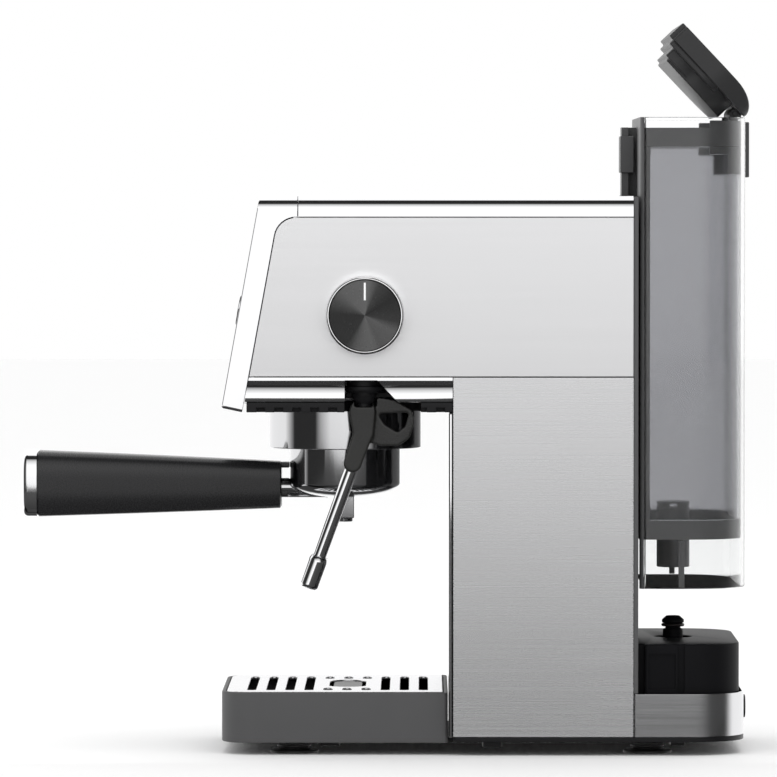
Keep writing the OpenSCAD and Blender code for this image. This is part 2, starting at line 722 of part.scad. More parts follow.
nozzle_r = 5.3;
nozzle_l = 19;
module wand_nozzle()
    color("silver") at_ball() translate(tube_end) rotate([-lean, 0, 0]) difference() {
        translate([0, 0, -5]) union() {
            translate([0, 0, 2]) cylinder(r = nozzle_r, h = nozzle_l - 4);
            rotate_extrude() translate([nozzle_r - 2, 2]) circle(2);
            cylinder(r = nozzle_r - 2, h = 3);
            translate([0, 0, nozzle_l - 2]) cylinder(r1 = nozzle_r, r2 = tube_r + 0.3, h = 2);
        }
        cylinder(r = tube_r + 0.05, h = nozzle_l);
        translate([0, 0, -9]) cylinder(r = 1.2, h = 10);
    }

// Rubber sleeve with a finger loop behind it, drawn in Y and Z about the ball's centre
module sleeve_side() {
    hull() {
        translate([0.8, -5.6]) circle(4.4);
        translate([-0.9, -10]) circle(7.3);
        translate([-0.3, -22]) circle(5.6);
    }
    hull() {
        translate([-0.3, -22]) circle(5.4);
        translate([-6.2, -38.5]) circle(5);
    }
}
module loop_side()
    difference() {
        offset(r = 2) offset(delta = -2) polygon([[1, -14], [7.5, -2], [17, -3.4], [26.5, -9],
            [28.2, -16], [25, -25], [19, -28.8], [10, -29], [-1, -26]]);
        offset(r = 1.5) offset(delta = -1.5) polygon([[7.6, -11], [25, -10.4], [22.8, -18],
            [18.6, -21.4], [11.4, -17]]);
    }
module wand_grip()
    color([0.14, 0.14, 0.14]) at_ball() difference() {
        union() {
            across(-5.8, 5.8) sleeve_side();
            across(-2.6, 2.6) loop_side();
        }
        rod(bend, tube_end, tube_r + 0.05);
        translate([0, 0, -stem_l - 0.1]) cylinder(r = 4.45, h = 40);
        translate([0, 0, -ball_r - 0.1]) cylinder(r = ball_r + 0.4, h = 30);
    }

// ---------------------------------------------------------------- filter holder

holder_top = collar_z + 6.7;
holder_low = collar_z - 20;
dome_h = 8.4;
module bowl(r, z, drop)
    rotate_extrude() polygon(concat([[0, z - drop]],
        [for (i = [1:12]) [r * sin(i * 7.5), z - drop * cos(i * 7.5)]], [[r, holder_top], [0, holder_top]]));
spout_x = 13;
module filter_holder()
    color("silver") translate([0, group_y, 0]) difference() {
        union() {
            bowl(holder_r, holder_low, dome_h);
            intersection() {
                translate([0, 0, collar_z + flange_t + part_gap]) cylinder(r = head_r - 0.4, h = 3.3);
                block(50, -10.5, 10.5, 0, 500);
            }
            block(spout_x + 5, -5.2, 5.2, holder_low - dome_h - 10.7, holder_low - 4);
            for (s = [-1, 1]) translate([s * spout_x, 0, holder_low - dome_h - 12.8])
                cylinder(r = 4.4, h = 4);
        }
        translate([0, 0, 1.6]) bowl(holder_r - 2, holder_low, dome_h - 1);
        translate([0, 0, holder_low]) cylinder(r = holder_r - 2, h = 60);
        for (s = [-1, 1]) translate([s * spout_x, 0, holder_low - dome_h - 14]) cylinder(r = 2.4, h = 20);
    }
module filter_basket()
    color("gainsboro") translate([0, group_y, holder_top]) difference() {
        union() {
            translate([0, 0, 0.05]) cylinder(r = holder_r - 0.3, h = 0.7);
            translate([0, 0, 0.75 - basket_h]) cylinder(r = basket_r, h = basket_h - 0.5);
        }
        translate([0, 0, 1.35 - basket_h]) cylinder(r = basket_r - 0.6, h = basket_h);
        for (ring = [[6, 6], [12, 12], [18, 16]]) for (i = [1:ring[1]])
            rotate([0, 0, i * 360 / ring[1]]) translate([ring[0], 0, -basket_h]) cylinder(r = 0.8, h = 4);
    }

grip_y = group_y - 35.6;
grip_z = holder_low - 1;
neck_z = holder_low - 2.75;
grip_end = grip_y - grip_l;
tang_l = 44;
module holder_handle()
    color("silver") difference() {
        union() {
            along(grip_y - tang_l, group_y - 10) translate([0, neck_z]) circle(5.5);
            along(grip_end + 4, grip_y - tang_l + 1) translate([0, neck_z]) circle(2.5);
        }
        translate([0, group_y, 0]) bowl(holder_r + 0.02, holder_low, dome_h);
        block(spout_x + 8, group_y - 8, 0, 0, 500);
    }
// A cross-section of the grip: width, height, and the height of its middle
module grip_slice(y, w, h, z)
    along(y, y + 1) translate([-w / 2, z - h / 2]) hull() for (x = [8, w - 8], v = [8, h - 8])
        translate([x, v]) circle(8, $fn = 32);
module handle_grip()
    color([0.2, 0.2, 0.2]) difference() {
        union() {
            hull() {
                grip_slice(grip_y - 1, 24, 26.5, grip_z);
                grip_slice(grip_end, 30, 37, grip_z + 0.7);
            }
            block(6, grip_y - 3, grip_y + 4.4, neck_z + 7, grip_z + 12.6);
            block(6, grip_y - 3, grip_y + 3.6, grip_z - 6.6, neck_z - 0.5);
        }
        along(grip_y - tang_l - 0.1, grip_y + 10) translate([0, neck_z]) circle(5.55);
        along(grip_end - 5, grip_y) translate([0, neck_z]) circle(2.55);
        along(grip_end - 5, grip_end + 6) translate([0, neck_z]) circle(5);
    }
module handle_cap()
    color("silver") along(grip_end - 8.8, grip_end - 0.15) translate([-15, grip_z + 0.7 - 18.5])
        hull() for (x = [8, 22], v = [8, 29]) translate([x, v]) circle(8);

// ---------------------------------------------------------------- drip tray

tray_z = foot_h + 0.4;
tray_rear = col_y - front_panel_t - 0.5;
tray_front = tray_rear - tray_d;
tray_hw = tray_w / 2;
tray_floor = foot_h + base_t + 2.8;
ledge_z = tray_top - 1.9;
module drip_tray()
    color("dimgray") difference() {
        slab(tray_hw, tray_front, tray_rear, tray_corner, 2, tray_z, tray_top);
        slab(tray_hw - 5, tray_front + 5, tray_rear - 5, tray_corner - 5, 2, tray_floor, tray_top + 1);
        slab(tray_hw - 2.2, tray_front + 2.2, tray_rear - 2.2, tray_corner - 2.2, 1, ledge_z, tray_top + 1);
        block(tongue_hw + slide_gap, tongue_front - slide_gap, tray_rear + 1, tray_z - 1,
            foot_h + base_t + slide_gap);
    }

grate_y = (tray_front + tray_rear) / 2;
row_y0 = grate_y + 1.4 - (slot_rows - 1) / 2 * slot_pitch;
mid_row = floor(slot_rows / 2);
float_y = row_y0 + mid_row * slot_pitch;
window_w = 56;
window_d = 20.4;
module stadium(l, w) {
    square([l - w, w], center = true);
    for (s = [-1, 1]) translate([s * (l - w) / 2, 0]) circle(w / 2);
}
module drip_grate()
    color("gainsboro") translate([0, 0, ledge_z + part_gap]) linear_extrude(1.8) difference() {
        plan(tray_hw - 2.8, tray_front + 2.8, tray_rear - 2.8, tray_corner - 2.8, 1);
        for (i = [0:slot_rows - 1]) translate([0, row_y0 + i * slot_pitch])
            if (abs(i - mid_row) > 1) stadium(slot_l, slot_w);
            else for (s = [-1, 1]) translate([s * (slot_l / 2 - 9), 0]) stadium(18, slot_w);
        translate([0, float_y]) stadium(window_w, window_d);
    }
// Play between the float and the grate's window
float_gap = 2.2;
module tray_float()
    color([0.1, 0.1, 0.1]) translate([0, float_y, tray_floor + part_gap]) difference() {
        linear_extrude(tray_top - 0.8 - tray_floor)
            stadium(window_w - 2 * float_gap, window_d - 2 * float_gap);
        translate([0, 0, -eps]) linear_extrude(tray_top - 3 - tray_floor)
            stadium(window_w - 2 * float_gap - 4, window_d - 2 * float_gap - 4);
    }

// ---------------------------------------------------------------- water tank

shell_z = strip_z + 0.9;
rim_z = body_h - 14;
vessel_z = seat_z + 0.7;
collar_low = rim_z - 16.3;
tank_hw = half_w - 1;
tongue_low = groove_z + 20;
tongue_top = rim_z - 5.1;
tongue_y = tank_y - 8.4;
tongue_t = 3.7;
hinge_y = tank_end - 5;
hinge_z = lid_z - 1.3;
module lifted() translate([0, 0, tank_lift]) children();

module tank_shell()
    color([0.85, 0.88, 0.9, 0.35]) lifted() {
        difference() {
            slab(tank_hw, tank_y, tank_end, 4, tank_corner, shell_z, rim_z);
            slab(tank_hw - shell_t, tank_y + shell_t, tank_end - shell_t, 2, tank_corner - shell_t,
                shell_z - eps, rim_z + eps);
            block(seat_hw - 5.2, tank_y - eps, tank_y + shell_t + eps, shell_z - eps, seat_z + 0.4);
        }
        block(4, tongue_y + tongue_t, tank_y + 0.5, tongue_low, tongue_top);
        block(12, tongue_y, tongue_y + tongue_t, tongue_low, tongue_top);
    }

vessel_hw = tank_hw - shell_t - 0.3;
vessel_y = tank_y + shell_t + 0.3;
vessel_end = tank_end - shell_t - 0.3;
vessel_corner = tank_corner - shell_t - 0.3;
housing_r = 9.2;
module tank_vessel()
    color([0.35, 0.35, 0.36, 0.6]) lifted() difference() {
        slab(vessel_hw, vessel_y, vessel_end, 2, vessel_corner, vessel_z, collar_low);
        slab(vessel_hw - vessel_t, vessel_y + vessel_t, vessel_end - vessel_t, 1,
            vessel_corner - vessel_t, vessel_z + 2.4, collar_low + eps);
        translate([0, inlet_y, vessel_z - eps]) cylinder(r = housing_r + 0.05, h = 10);
    }

// Dark fittings of the tank: mouth collar, hinge bracket, clips, guide keys and valve housing
bracket_y = vessel_end - 18.6;
ear_x = [30.4, 35];
module tank_fittings()
    color([0.25, 0.25, 0.25]) lifted() {
        difference() {
            union() {
                slab(vessel_hw, vessel_y, vessel_end, 2, vessel_corner, collar_low + 0.05, rim_z - 5.8);
                intersection() {
                    slab(vessel_hw, vessel_y, vessel_end, 2, vessel_corner, rim_z - 21.5, rim_z - 1.8);
                    block(half_w, bracket_y, tank_end, collar_low + 0.05, rim_z);
                }
            }
            slab(vessel_hw - 3, vessel_y + 3, vessel_end - 3, 1, vessel_corner - 3,
                collar_low - eps, rim_z + eps);
        }
        for (s = [-1, 1]) difference() {
            across(s > 0 ? ear_x[0] : -ear_x[1], s > 0 ? ear_x[1] : -ear_x[0]) {
                translate([hinge_y, hinge_z]) circle(3.4);
                translate([hinge_y - 3.4, rim_z - 8]) square([5.4, 8 + hinge_z - rim_z]);
            }
            turned(-60, hinge_y, hinge_z) cylinder(r = 1.95, h = 120);
        }
        turned(-ear_x[1], hinge_y, hinge_z) cylinder(r = 1.9, h = 2 * ear_x[1]);
        // finger clip behind, and the clip round the tongue in front
        block(18, tank_end + 0.05, tank_end + 3.4, rim_z - 33, rim_z - 2.2);
        difference() {
            block(14, tongue_y - 0.8, tongue_y + 6.8, rim_z - 30.4, rim_z - 10);
            block(12.05, tongue_y - 0.05, tongue_y + tongue_t + 0.05, 0, body_h + tank_lift);
            block(4.05, tongue_y + tongue_t - 1, tank_y, 0, body_h + tank_lift);
        }
        // guide keys and valve housing
        for (s = [-1, 1])
            translate([s * (tank_hw - shell_t - 1.05) - 1, key_y - key_hw + 0.4, shell_z + 0.4])
                cube([2, 2 * key_hw - 0.8, vessel_z - shell_z - 0.8]);
        difference() {
            translate([0, inlet_y, well_z + 2.2]) cylinder(r = housing_r, h = post_top + 5 - well_z);
            translate([0, inlet_y, 0]) cylinder(r = 7.2, h = post_top + 2);
            for (a = [0, 90]) translate([0, inlet_y, post_top + 4]) rotate([0, 0, a])
                block(2, -20, 20, 0, 1.8);
        }
    }

module opened() lifted() translate([0, hinge_y, hinge_z]) rotate([-lid_open, 0, 0])
    translate([0, -hinge_y, -hinge_z]) children();
lid_y = wall_y + 0.5;
lid_end = hinge_y + 4.3;
curve_y = lid_end - 17.4;
module lid_profile(inset)
    polygon(concat([[rear_y - 5, lid_z + 1.2 * inset], [rear_y - 5, body_h - inset]],
        [for (i = [0:10]) [curve_y + (17.4 - inset) * sin(9 * i),
            lid_z + 1.2 + (lid_t - 1.2 - inset) * cos(9 * i)]],
        [[hinge_y + 1, lid_z + 0.2 * inset]]));
module lid_cover() difference() {
    intersection() {
        across(-tank_hw, tank_hw) lid_profile(0);
        union() {
            slab(tank_hw, lid_y, tank_end, 2, tank_corner, lid_z - 20, body_h + 20);
            block(half_w - 3.5, rear_y + 0.5, lid_y + 3, lid_z - 20, body_h + 20);
        }
    }
    // room for the hinge's ears
    for (x = [-ear_x[1], ear_x[0]]) across(x - 0.5, x + ear_x[1] - ear_x[0] + 0.5) {
        translate([hinge_y, hinge_z]) circle(4.6);
        translate([hinge_y - 4.5, hinge_z - 10]) square([20, 10.5]);
    }
    block(ear_x[0] - 0.35, hinge_y - 6.5, tank_end + 5, hinge_z - 10, hinge_z + 4.2);
}
module tank_lid()
    color([0.27, 0.27, 0.27]) opened() {
        difference() {
            union() {
                lid_cover();
                // insert that closes the mouth of the tank
                slab(tank_hw - 0.6, lid_y + 0.4, bracket_y - 1, 2, 12, rim_z + 0.5, lid_z + 0.05);
                slab(vessel_hw - 1.2, vessel_y + 1.2, bracket_y - 1, 2, vessel_corner - 1.2,
                    rim_z - 5.2, lid_z + 0.05);
                slab(vessel_hw - 3.5, vessel_y + 3.5, hinge_y - 5.5, 2, vessel_corner - 3.5,
                    lid_z - 10.4, lid_z + 0.05);
            }
            slab(vessel_hw - 5.5, vessel_y + 5.5, hinge_y - 7.5, 1, vessel_corner - 5.5,
                lid_z - 8.4, body_h - 2.4);
        }
        difference() {
            union() {
                turned(-ear_x[0] + 0.4, hinge_y, hinge_z) cylinder(r = 3.2, h = 2 * ear_x[0] - 0.8);
                block(ear_x[0] - 0.4, hinge_y - 7, hinge_y, hinge_z + 1, lid_z + 3);
            }
            turned(-60, hinge_y, hinge_z) cylinder(r = 1.9 + run_gap, h = 120);
        }
    }

base_plate();
feet();
screws();
base_strip();
tank_seat();
water_inlet_post();
inlet_seal();
cord_gland();
inner_frame();
left_side_panel();
right_side_panel();
left_upper_panel();
right_upper_panel();
column_front();
column_trims();
rear_wall();
front_fascia();
control_panel();
indicator_lights();
control_board();
top_cover();
cup_warmer();
head_skirt();
head_underside();
pump();
pump_mounts();
suction_hose();
brew_pipe();
boiler();
thermostats();
group_head();
group_collar();
group_gasket();
shower_screen();
steam_valve();
steam_pipe();
power_button();
coffee_button();
steam_button();
knob_ring();
knob_core();
knob_face();
steam_spindle();
wand_swivel();
wand_ball();
wand_tube();
wand_grip();
wand_nozzle();
filter_holder();
filter_basket();
holder_handle();
handle_grip();
handle_cap();
drip_tray();
drip_grate();
tray_float();
tank_shell();
tank_vessel();
tank_fittings();
tank_lid();
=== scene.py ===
"""The looks of a slim pump espresso machine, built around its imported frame.

Each sub-assembly of the machine is a class with its sizes as fields, and each finish is a frozen
dataclass that makes its own procedural material. Lengths are in metres, in the frame's own axes:
+Z is up, -Y is the front where the handle points, and +X is the side with the steam knob.
"""

import logging
import math
from collections.abc import Callable, Iterable, Sequence
from dataclasses import dataclass
from enum import Enum

import bmesh
import bpy
from mathutils import Matrix, Vector


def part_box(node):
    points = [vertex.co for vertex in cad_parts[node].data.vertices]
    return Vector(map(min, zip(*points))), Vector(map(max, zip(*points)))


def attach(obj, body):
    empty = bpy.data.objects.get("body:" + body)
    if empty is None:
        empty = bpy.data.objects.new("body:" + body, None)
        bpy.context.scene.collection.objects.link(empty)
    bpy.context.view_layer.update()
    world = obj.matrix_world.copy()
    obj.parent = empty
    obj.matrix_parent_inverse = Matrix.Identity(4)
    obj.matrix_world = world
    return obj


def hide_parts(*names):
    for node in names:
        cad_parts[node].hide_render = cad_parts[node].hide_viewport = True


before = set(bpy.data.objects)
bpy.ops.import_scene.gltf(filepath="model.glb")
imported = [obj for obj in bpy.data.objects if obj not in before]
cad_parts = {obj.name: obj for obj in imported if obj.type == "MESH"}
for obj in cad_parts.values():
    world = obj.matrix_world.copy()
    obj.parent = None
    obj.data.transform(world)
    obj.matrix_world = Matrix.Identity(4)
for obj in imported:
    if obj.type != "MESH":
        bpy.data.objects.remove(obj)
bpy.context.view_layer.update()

log = logging.getLogger("espresso_machine")

MM = 0.001
MERGE_DISTANCE = 0.002 * MM
FRONT_LEAN = math.radians(10.3)

Colour = tuple[float, float, float]
Point = tuple[float, float]


# ---------------------------------------------------------------- finishes


class Grain(Enum):
    """How often a finish's fine pattern repeats per metre along X, Y and Z."""

    UPRIGHT = (900.0, 7.0, 900.0)
    AROUND = (9.0, 9.0, 1100.0)
    FINE = (2600.0, 2600.0, 2600.0)
    COARSE = (900.0, 900.0, 900.0)
    WAVY = (26.0, 26.0, 26.0)


class Graph:
    """A material's node tree, and the few ways in which the finishes wire it."""

    def __init__(self, name: str) -> None:
        """Starts a material of that name with one principled shader."""
        self.material = bpy.data.materials.new(name)
        self.material.use_nodes = True
        self.tree = self.material.node_tree
        self.shader = self.tree.nodes["Principled BSDF"]
        self.place = self.add("ShaderNodeTexCoord").outputs["Object"]

    def add(self, kind: str, inputs: dict | None = None, **settings: object) -> bpy.types.Node:
        """Adds a node.

        Args:
            kind: Blender's name of the node type.
            inputs: socket name to a value, or to a socket to link from.
            settings: the node's own properties.

        Returns:
            The new node.
        """
        node = self.tree.nodes.new(kind)
        for key, value in settings.items():
            setattr(node, key, value)
        for key, value in (inputs or {}).items():
            if isinstance(value, bpy.types.NodeSocket):
                self.tree.links.new(value, node.inputs[key])
            else:
                node.inputs[key].default_value = value
        return node

    def noise(self, scale: Sequence[float], detail: float = 3.0) -> bpy.types.NodeSocket:
        """A noise from 0 to 1.

        Args:
            scale: repeats per metre along X, Y and Z.
            detail: octaves of the noise.

        Returns:
            The noise's factor socket.
        """
        mapping = self.add("ShaderNodeMapping", {"Vector": self.place, "Scale": tuple(scale)})
        inputs = {"Vector": mapping.outputs["Vector"], "Scale": 1.0, "Detail": detail}
        return self.add("ShaderNodeTexNoise", inputs).outputs["Fac"]

    def ranged(self, factor: bpy.types.NodeSocket, low: float, high: float) -> bpy.types.NodeSocket:
        """Maps the middle of a noise onto the range from low to high."""
        inputs = {"Value": factor, "From Min": 0.25, "From Max": 0.75, "To Min": low, "To Max": high}
        return self.add("ShaderNodeMapRange", inputs).outputs["Result"]

    def mixed(self, factor: bpy.types.NodeSocket, first: Colour, second: Colour) -> bpy.types.NodeSocket:
        """Mixes two colours by a factor."""
        node = self.add("ShaderNodeMix", data_type="RGBA")
        self.tree.links.new(factor, node.inputs[0])
        node.inputs[6].default_value = (*first, 1.0)
        node.inputs[7].default_value = (*second, 1.0)
        return node.outputs[2]

    def relief(self, height: bpy.types.NodeSocket, strength: float, depth: float) -> None:
        """Gives the shader a bump of that strength and depth, after any bump it has already."""
        node = self.add("ShaderNodeBump", {"Height": height, "Strength": strength, "Distance": depth})
        before = self.shader.inputs["Normal"].links
        if before:
            self.tree.links.new(before[0].from_socket, node.inputs["Normal"])
        self.tree.links.new(node.outputs["Normal"], self.shader.inputs["Normal"])

    def feed(self, socket: str, source: object) -> None:
        """Sets or links one of the shader's inputs."""
        if isinstance(source, bpy.types.NodeSocket):
            self.tree.links.new(source, self.shader.inputs[socket])
        else:
            self.shader.inputs[socket].default_value = source


@dataclass(frozen=True)
class Finish:
    """A solid surface: its tone, its gloss, and the fine relief that its making leaves."""

    name: str
    slot: str
    tone: Colour
    roughness: float
    metallic: float = 0.0
    drift: float = 0.08
    gloss_drift: float = 0.06
    grain: Grain = Grain.FINE
    relief: float = 0.08
    depth: float = 0.05 * MM
    coat: float = 0.0
    specular: float = 0.5

    def shade(self, graph: Graph) -> None:
        """Wires the finish into a graph."""
        cloud = graph.noise((14.0, 14.0, 14.0), 2.0)
        fine = graph.noise(self.grain.value, 4.0)
        dark = tuple(c * (1.0 - self.drift) for c in self.tone)
        light = tuple(min(1.0, c * (1.0 + self.drift)) for c in self.tone)
        blend = graph.add("ShaderNodeMath", {0: fine, 1: cloud}, operation="MULTIPLY_ADD")
        blend.inputs[2].default_value = 0.25
        graph.feed("Base Color", graph.mixed(graph.ranged(blend.outputs[0], 0.0, 1.0), dark, light))
        low = max(0.02, self.roughness - self.gloss_drift)
        graph.feed("Roughness", graph.ranged(fine, low, self.roughness + self.gloss_drift))
        graph.feed("Metallic", self.metallic)
        graph.feed("Coat Weight", self.coat)
        graph.feed("Specular IOR Level", self.specular)
        graph.relief(fine, self.relief, self.depth)

    def material(self) -> bpy.types.Material:
        """The finish's material, made once."""
        found = bpy.data.materials.get(self.name)
        if found:
            return found
        graph = Graph(self.name)
        self.shade(graph)
        return graph.material


@dataclass(frozen=True)
class ClearFinish(Finish):
    """A clear or smoked moulding, with faint flow lines."""

    ior: float = 1.45
    see_through: float = 1.0

    def shade(self, graph: Graph) -> None:
        """Wires the finish into a graph."""
        super().shade(graph)
        graph.feed("Transmission Weight", self.see_through)
        graph.feed("IOR", self.ior)


@dataclass(frozen=True)
class SpunFinish(Finish):
    """Metal turned on a lathe about a line along X, with fine rings; its base colour is a painted
    reflection, a fan of light and dark wedges round the centre.
    """

    centre: tuple[float, float, float] = (0.0, 0.0, 0.0)
    rings: float = 1500.0
    # (share of the turn, grey) stops of the painted reflection: light and dark wedges standing in for the
    # spun face's conical highlights.
    painted_reflection_wedges: tuple[Point, ...] = (
        (0.0, 0.15), (0.04, 0.13), (0.09, 0.05), (0.26, 0.045), (0.32, 0.09), (0.38, 0.15), (0.52, 0.17),
        (0.57, 0.07), (0.66, 0.04), (0.78, 0.06), (0.83, 0.14), (0.92, 0.12), (0.96, 0.16), (1.0, 0.15),
    )

    def shade(self, graph: Graph) -> None:
        """Wires the finish into a graph."""
        super().shade(graph)
        offset = tuple(-c for c in self.centre)
        mapping = graph.add("ShaderNodeMapping", {"Vector": graph.place, "Location": offset})
        arms = graph.add("ShaderNodeSeparateXYZ", {"Vector": mapping.outputs["Vector"]})
        turn = graph.add("ShaderNodeMath", {0: arms.outputs["Y"], 1: arms.outputs["Z"]}, operation="ARCTAN2")
        inputs = {"Value": turn.outputs[0], "From Min": -math.pi, "From Max": math.pi}
        share = graph.add("ShaderNodeMapRange", inputs)
        # Painted reflection: the base colour is set by angle round the centre, light and dark wedges in
        # place of reflected highlights.
        painted_reflection_fan = graph.add("ShaderNodeValToRGB", {"Fac": share.outputs["Result"]})
        while len(painted_reflection_fan.color_ramp.elements) < len(self.painted_reflection_wedges):
            painted_reflection_fan.color_ramp.elements.new(0.5)
        for element, (place, tone) in zip(painted_reflection_fan.color_ramp.elements, self.painted_reflection_wedges):
            element.position = place
            element.color = (tone, tone, tone, 1.0)
        graph.feed("Base Color", painted_reflection_fan.outputs["Color"])
        inputs = {"Vector": mapping.outputs["Vector"], "Scale": self.rings, "Distortion": 0.0}
        wave = graph.add("ShaderNodeTexWave", inputs, wave_type="RINGS", rings_direction="X")
        graph.relief(wave.outputs["Fac"], 0.12, 0.03 * MM)


STEEL_SIDE = Finish("brushed_side_steel", "brushed_steel", (0.86, 0.86, 0.87), 0.27, 1.0, 0.02, 0.02,
                    Grain.UPRIGHT, 0.015, 0.004 * MM)
STEEL_UPPER = Finish("brushed_upper_steel", "brushed_steel", (0.95, 0.95, 0.96), 0.30, 1.0, 0.01, 0.02,
                     Grain.UPRIGHT, 0.01, 0.003 * MM)
STEEL_AROUND = Finish("brushed_strip_steel", "brushed_steel", (0.72, 0.72, 0.73), 0.20, 1.0, 0.02, 0.03,
                      Grain.AROUND, 0.05, 0.01 * MM)
STEEL_FLAT = Finish("brushed_flat_steel", "brushed_steel", (0.78, 0.78, 0.79), 0.26, 1.0, 0.04, 0.05,
                    Grain.UPRIGHT, 0.12, 0.02 * MM)
CHROME = Finish("bright_chrome_trim", "bright_chrome", (0.90, 0.90, 0.91), 0.045, 1.0, 0.01, 0.015,
                Grain.WAVY, 0.02, 0.05 * MM)
DARK_CHROME = Finish("group_chrome", "bright_chrome", (0.66, 0.66, 0.67), 0.07, 1.0, 0.02, 0.02,
                     Grain.WAVY, 0.04, 0.1 * MM)
SATIN_BLACK = Finish("satin_black_grip", "dark_plastic", (0.016, 0.016, 0.017), 0.27, drift=0.12)
DARK_MOULDING = Finish("dark_moulding", "dark_plastic", (0.010, 0.010, 0.011), 0.34, drift=0.15,
                       specular=0.22)
TRAY_MOULDING = Finish("tray_moulding", "tray_plastic", (0.085, 0.085, 0.087), 0.52, drift=0.10,
                       relief=0.25, depth=0.08 * MM, specular=0.3)
GREY_MOULDING = Finish("grey_moulding", "grey_plastic", (0.078, 0.078, 0.080), 0.42, drift=0.10)
LID_DARK = Finish("lid_dark_moulding", "grey_plastic", (0.030, 0.030, 0.031), 0.40, drift=0.10,
                  specular=0.35)
GLOSS_BLACK = Finish("gloss_black_panel", "black_gloss", (0.012, 0.012, 0.013), 0.10, coat=0.6,
                     gloss_drift=0.03, grain=Grain.WAVY, relief=0.01)
SEAT_BLACK = Finish("seat_black_moulding", "dark_plastic", (0.007, 0.007, 0.008), 0.45, drift=0.12,
                    specular=0.06)
SOFT_RUBBER = Finish("soft_black_rubber", "rubber", (0.022, 0.022, 0.022), 0.55, drift=0.14,
                     grain=Grain.COARSE, relief=0.15)
WAND_RUBBER = Finish("wand_rubber", "rubber", (0.018, 0.018, 0.017), 0.26, drift=0.12)
SEAL_RUBBER = Finish("inlet_seal_rubber", "red_rubber", (0.018, 0.013, 0.013), 0.45)
CAST_ALUMINIUM = Finish("cast_aluminium", "aluminium", (0.62, 0.62, 0.63), 0.45, 1.0, 0.08, 0.1,
                        Grain.COARSE, 0.35, 0.15 * MM)
BRASS = Finish("machined_brass", "brass", (0.72, 0.53, 0.24), 0.26, 1.0, 0.06, 0.06, Grain.COARSE, 0.1)
BOARD = Finish("green_solder_mask", "board", (0.02, 0.12, 0.05), 0.30, coat=0.3, grain=Grain.COARSE)
SILICONE = Finish("milky_silicone_hose", "hose", (0.72, 0.72, 0.68), 0.42, drift=0.04)
SCREW_STEEL = Finish("zinc_screw_steel", "screw_steel", (0.55, 0.55, 0.57), 0.32, 1.0, 0.08, 0.08,
                     Grain.COARSE, 0.15)
LAMP = Finish("frosted_lamp", "lamp", (0.50, 0.70, 0.82), 0.30, drift=0.04, coat=0.4)
WHITE_MARK = Finish("white_pointer_mark", "spun_metal", (0.92, 0.92, 0.92), 0.35, drift=0.02)
CLEAR = ClearFinish("clear_tank_plastic", "clear_plastic", (0.955, 0.96, 0.96), 0.02, drift=0.004,
                    gloss_drift=0.01, grain=Grain.WAVY, relief=0.01, ior=1.30)
SMOKED = ClearFinish("smoked_tank_plastic", "smoked_plastic", (0.58, 0.58, 0.60), 0.10, drift=0.03,
                     gloss_drift=0.03, grain=Grain.WAVY, relief=0.02, ior=1.25, see_through=0.93)


# ---------------------------------------------------------------- shapes


def rounded(points: Sequence[tuple[float, float, float]], steps: int = 5) -> list[Point]:
    """Rounds the corners of an open outline.

    Args:
        points: (along, across, radius) of each corner; the radius is 0 where it stays sharp.
        steps: chords in each rounded corner.

    Returns:
        The outline's points, with an arc at each rounded corner.
    """
    found: list[Point] = []
    for i, (u, v, radius) in enumerate(points):
        here = Vector((u, v))
        if radius == 0 or i in (0, len(points) - 1):
            found.append((u, v))
            continue
        to_last = (Vector(points[i - 1][:2]) - here).normalized()
        to_next = (Vector(points[i + 1][:2]) - here).normalized()
        half = to_last.angle(to_next) / 2
        centre = here + (to_last + to_next).normalized() * (radius / math.sin(half))
        start = here + to_last * (radius / math.tan(half)) - centre
        end = here + to_next * (radius / math.tan(half)) - centre
        turn = start.angle_signed(end)
        for k in range(steps + 1):
            arm = start.copy()
            arm.rotate(Matrix.Rotation(-turn * k / steps, 2))
            found.append(tuple(centre + arm))
    return found


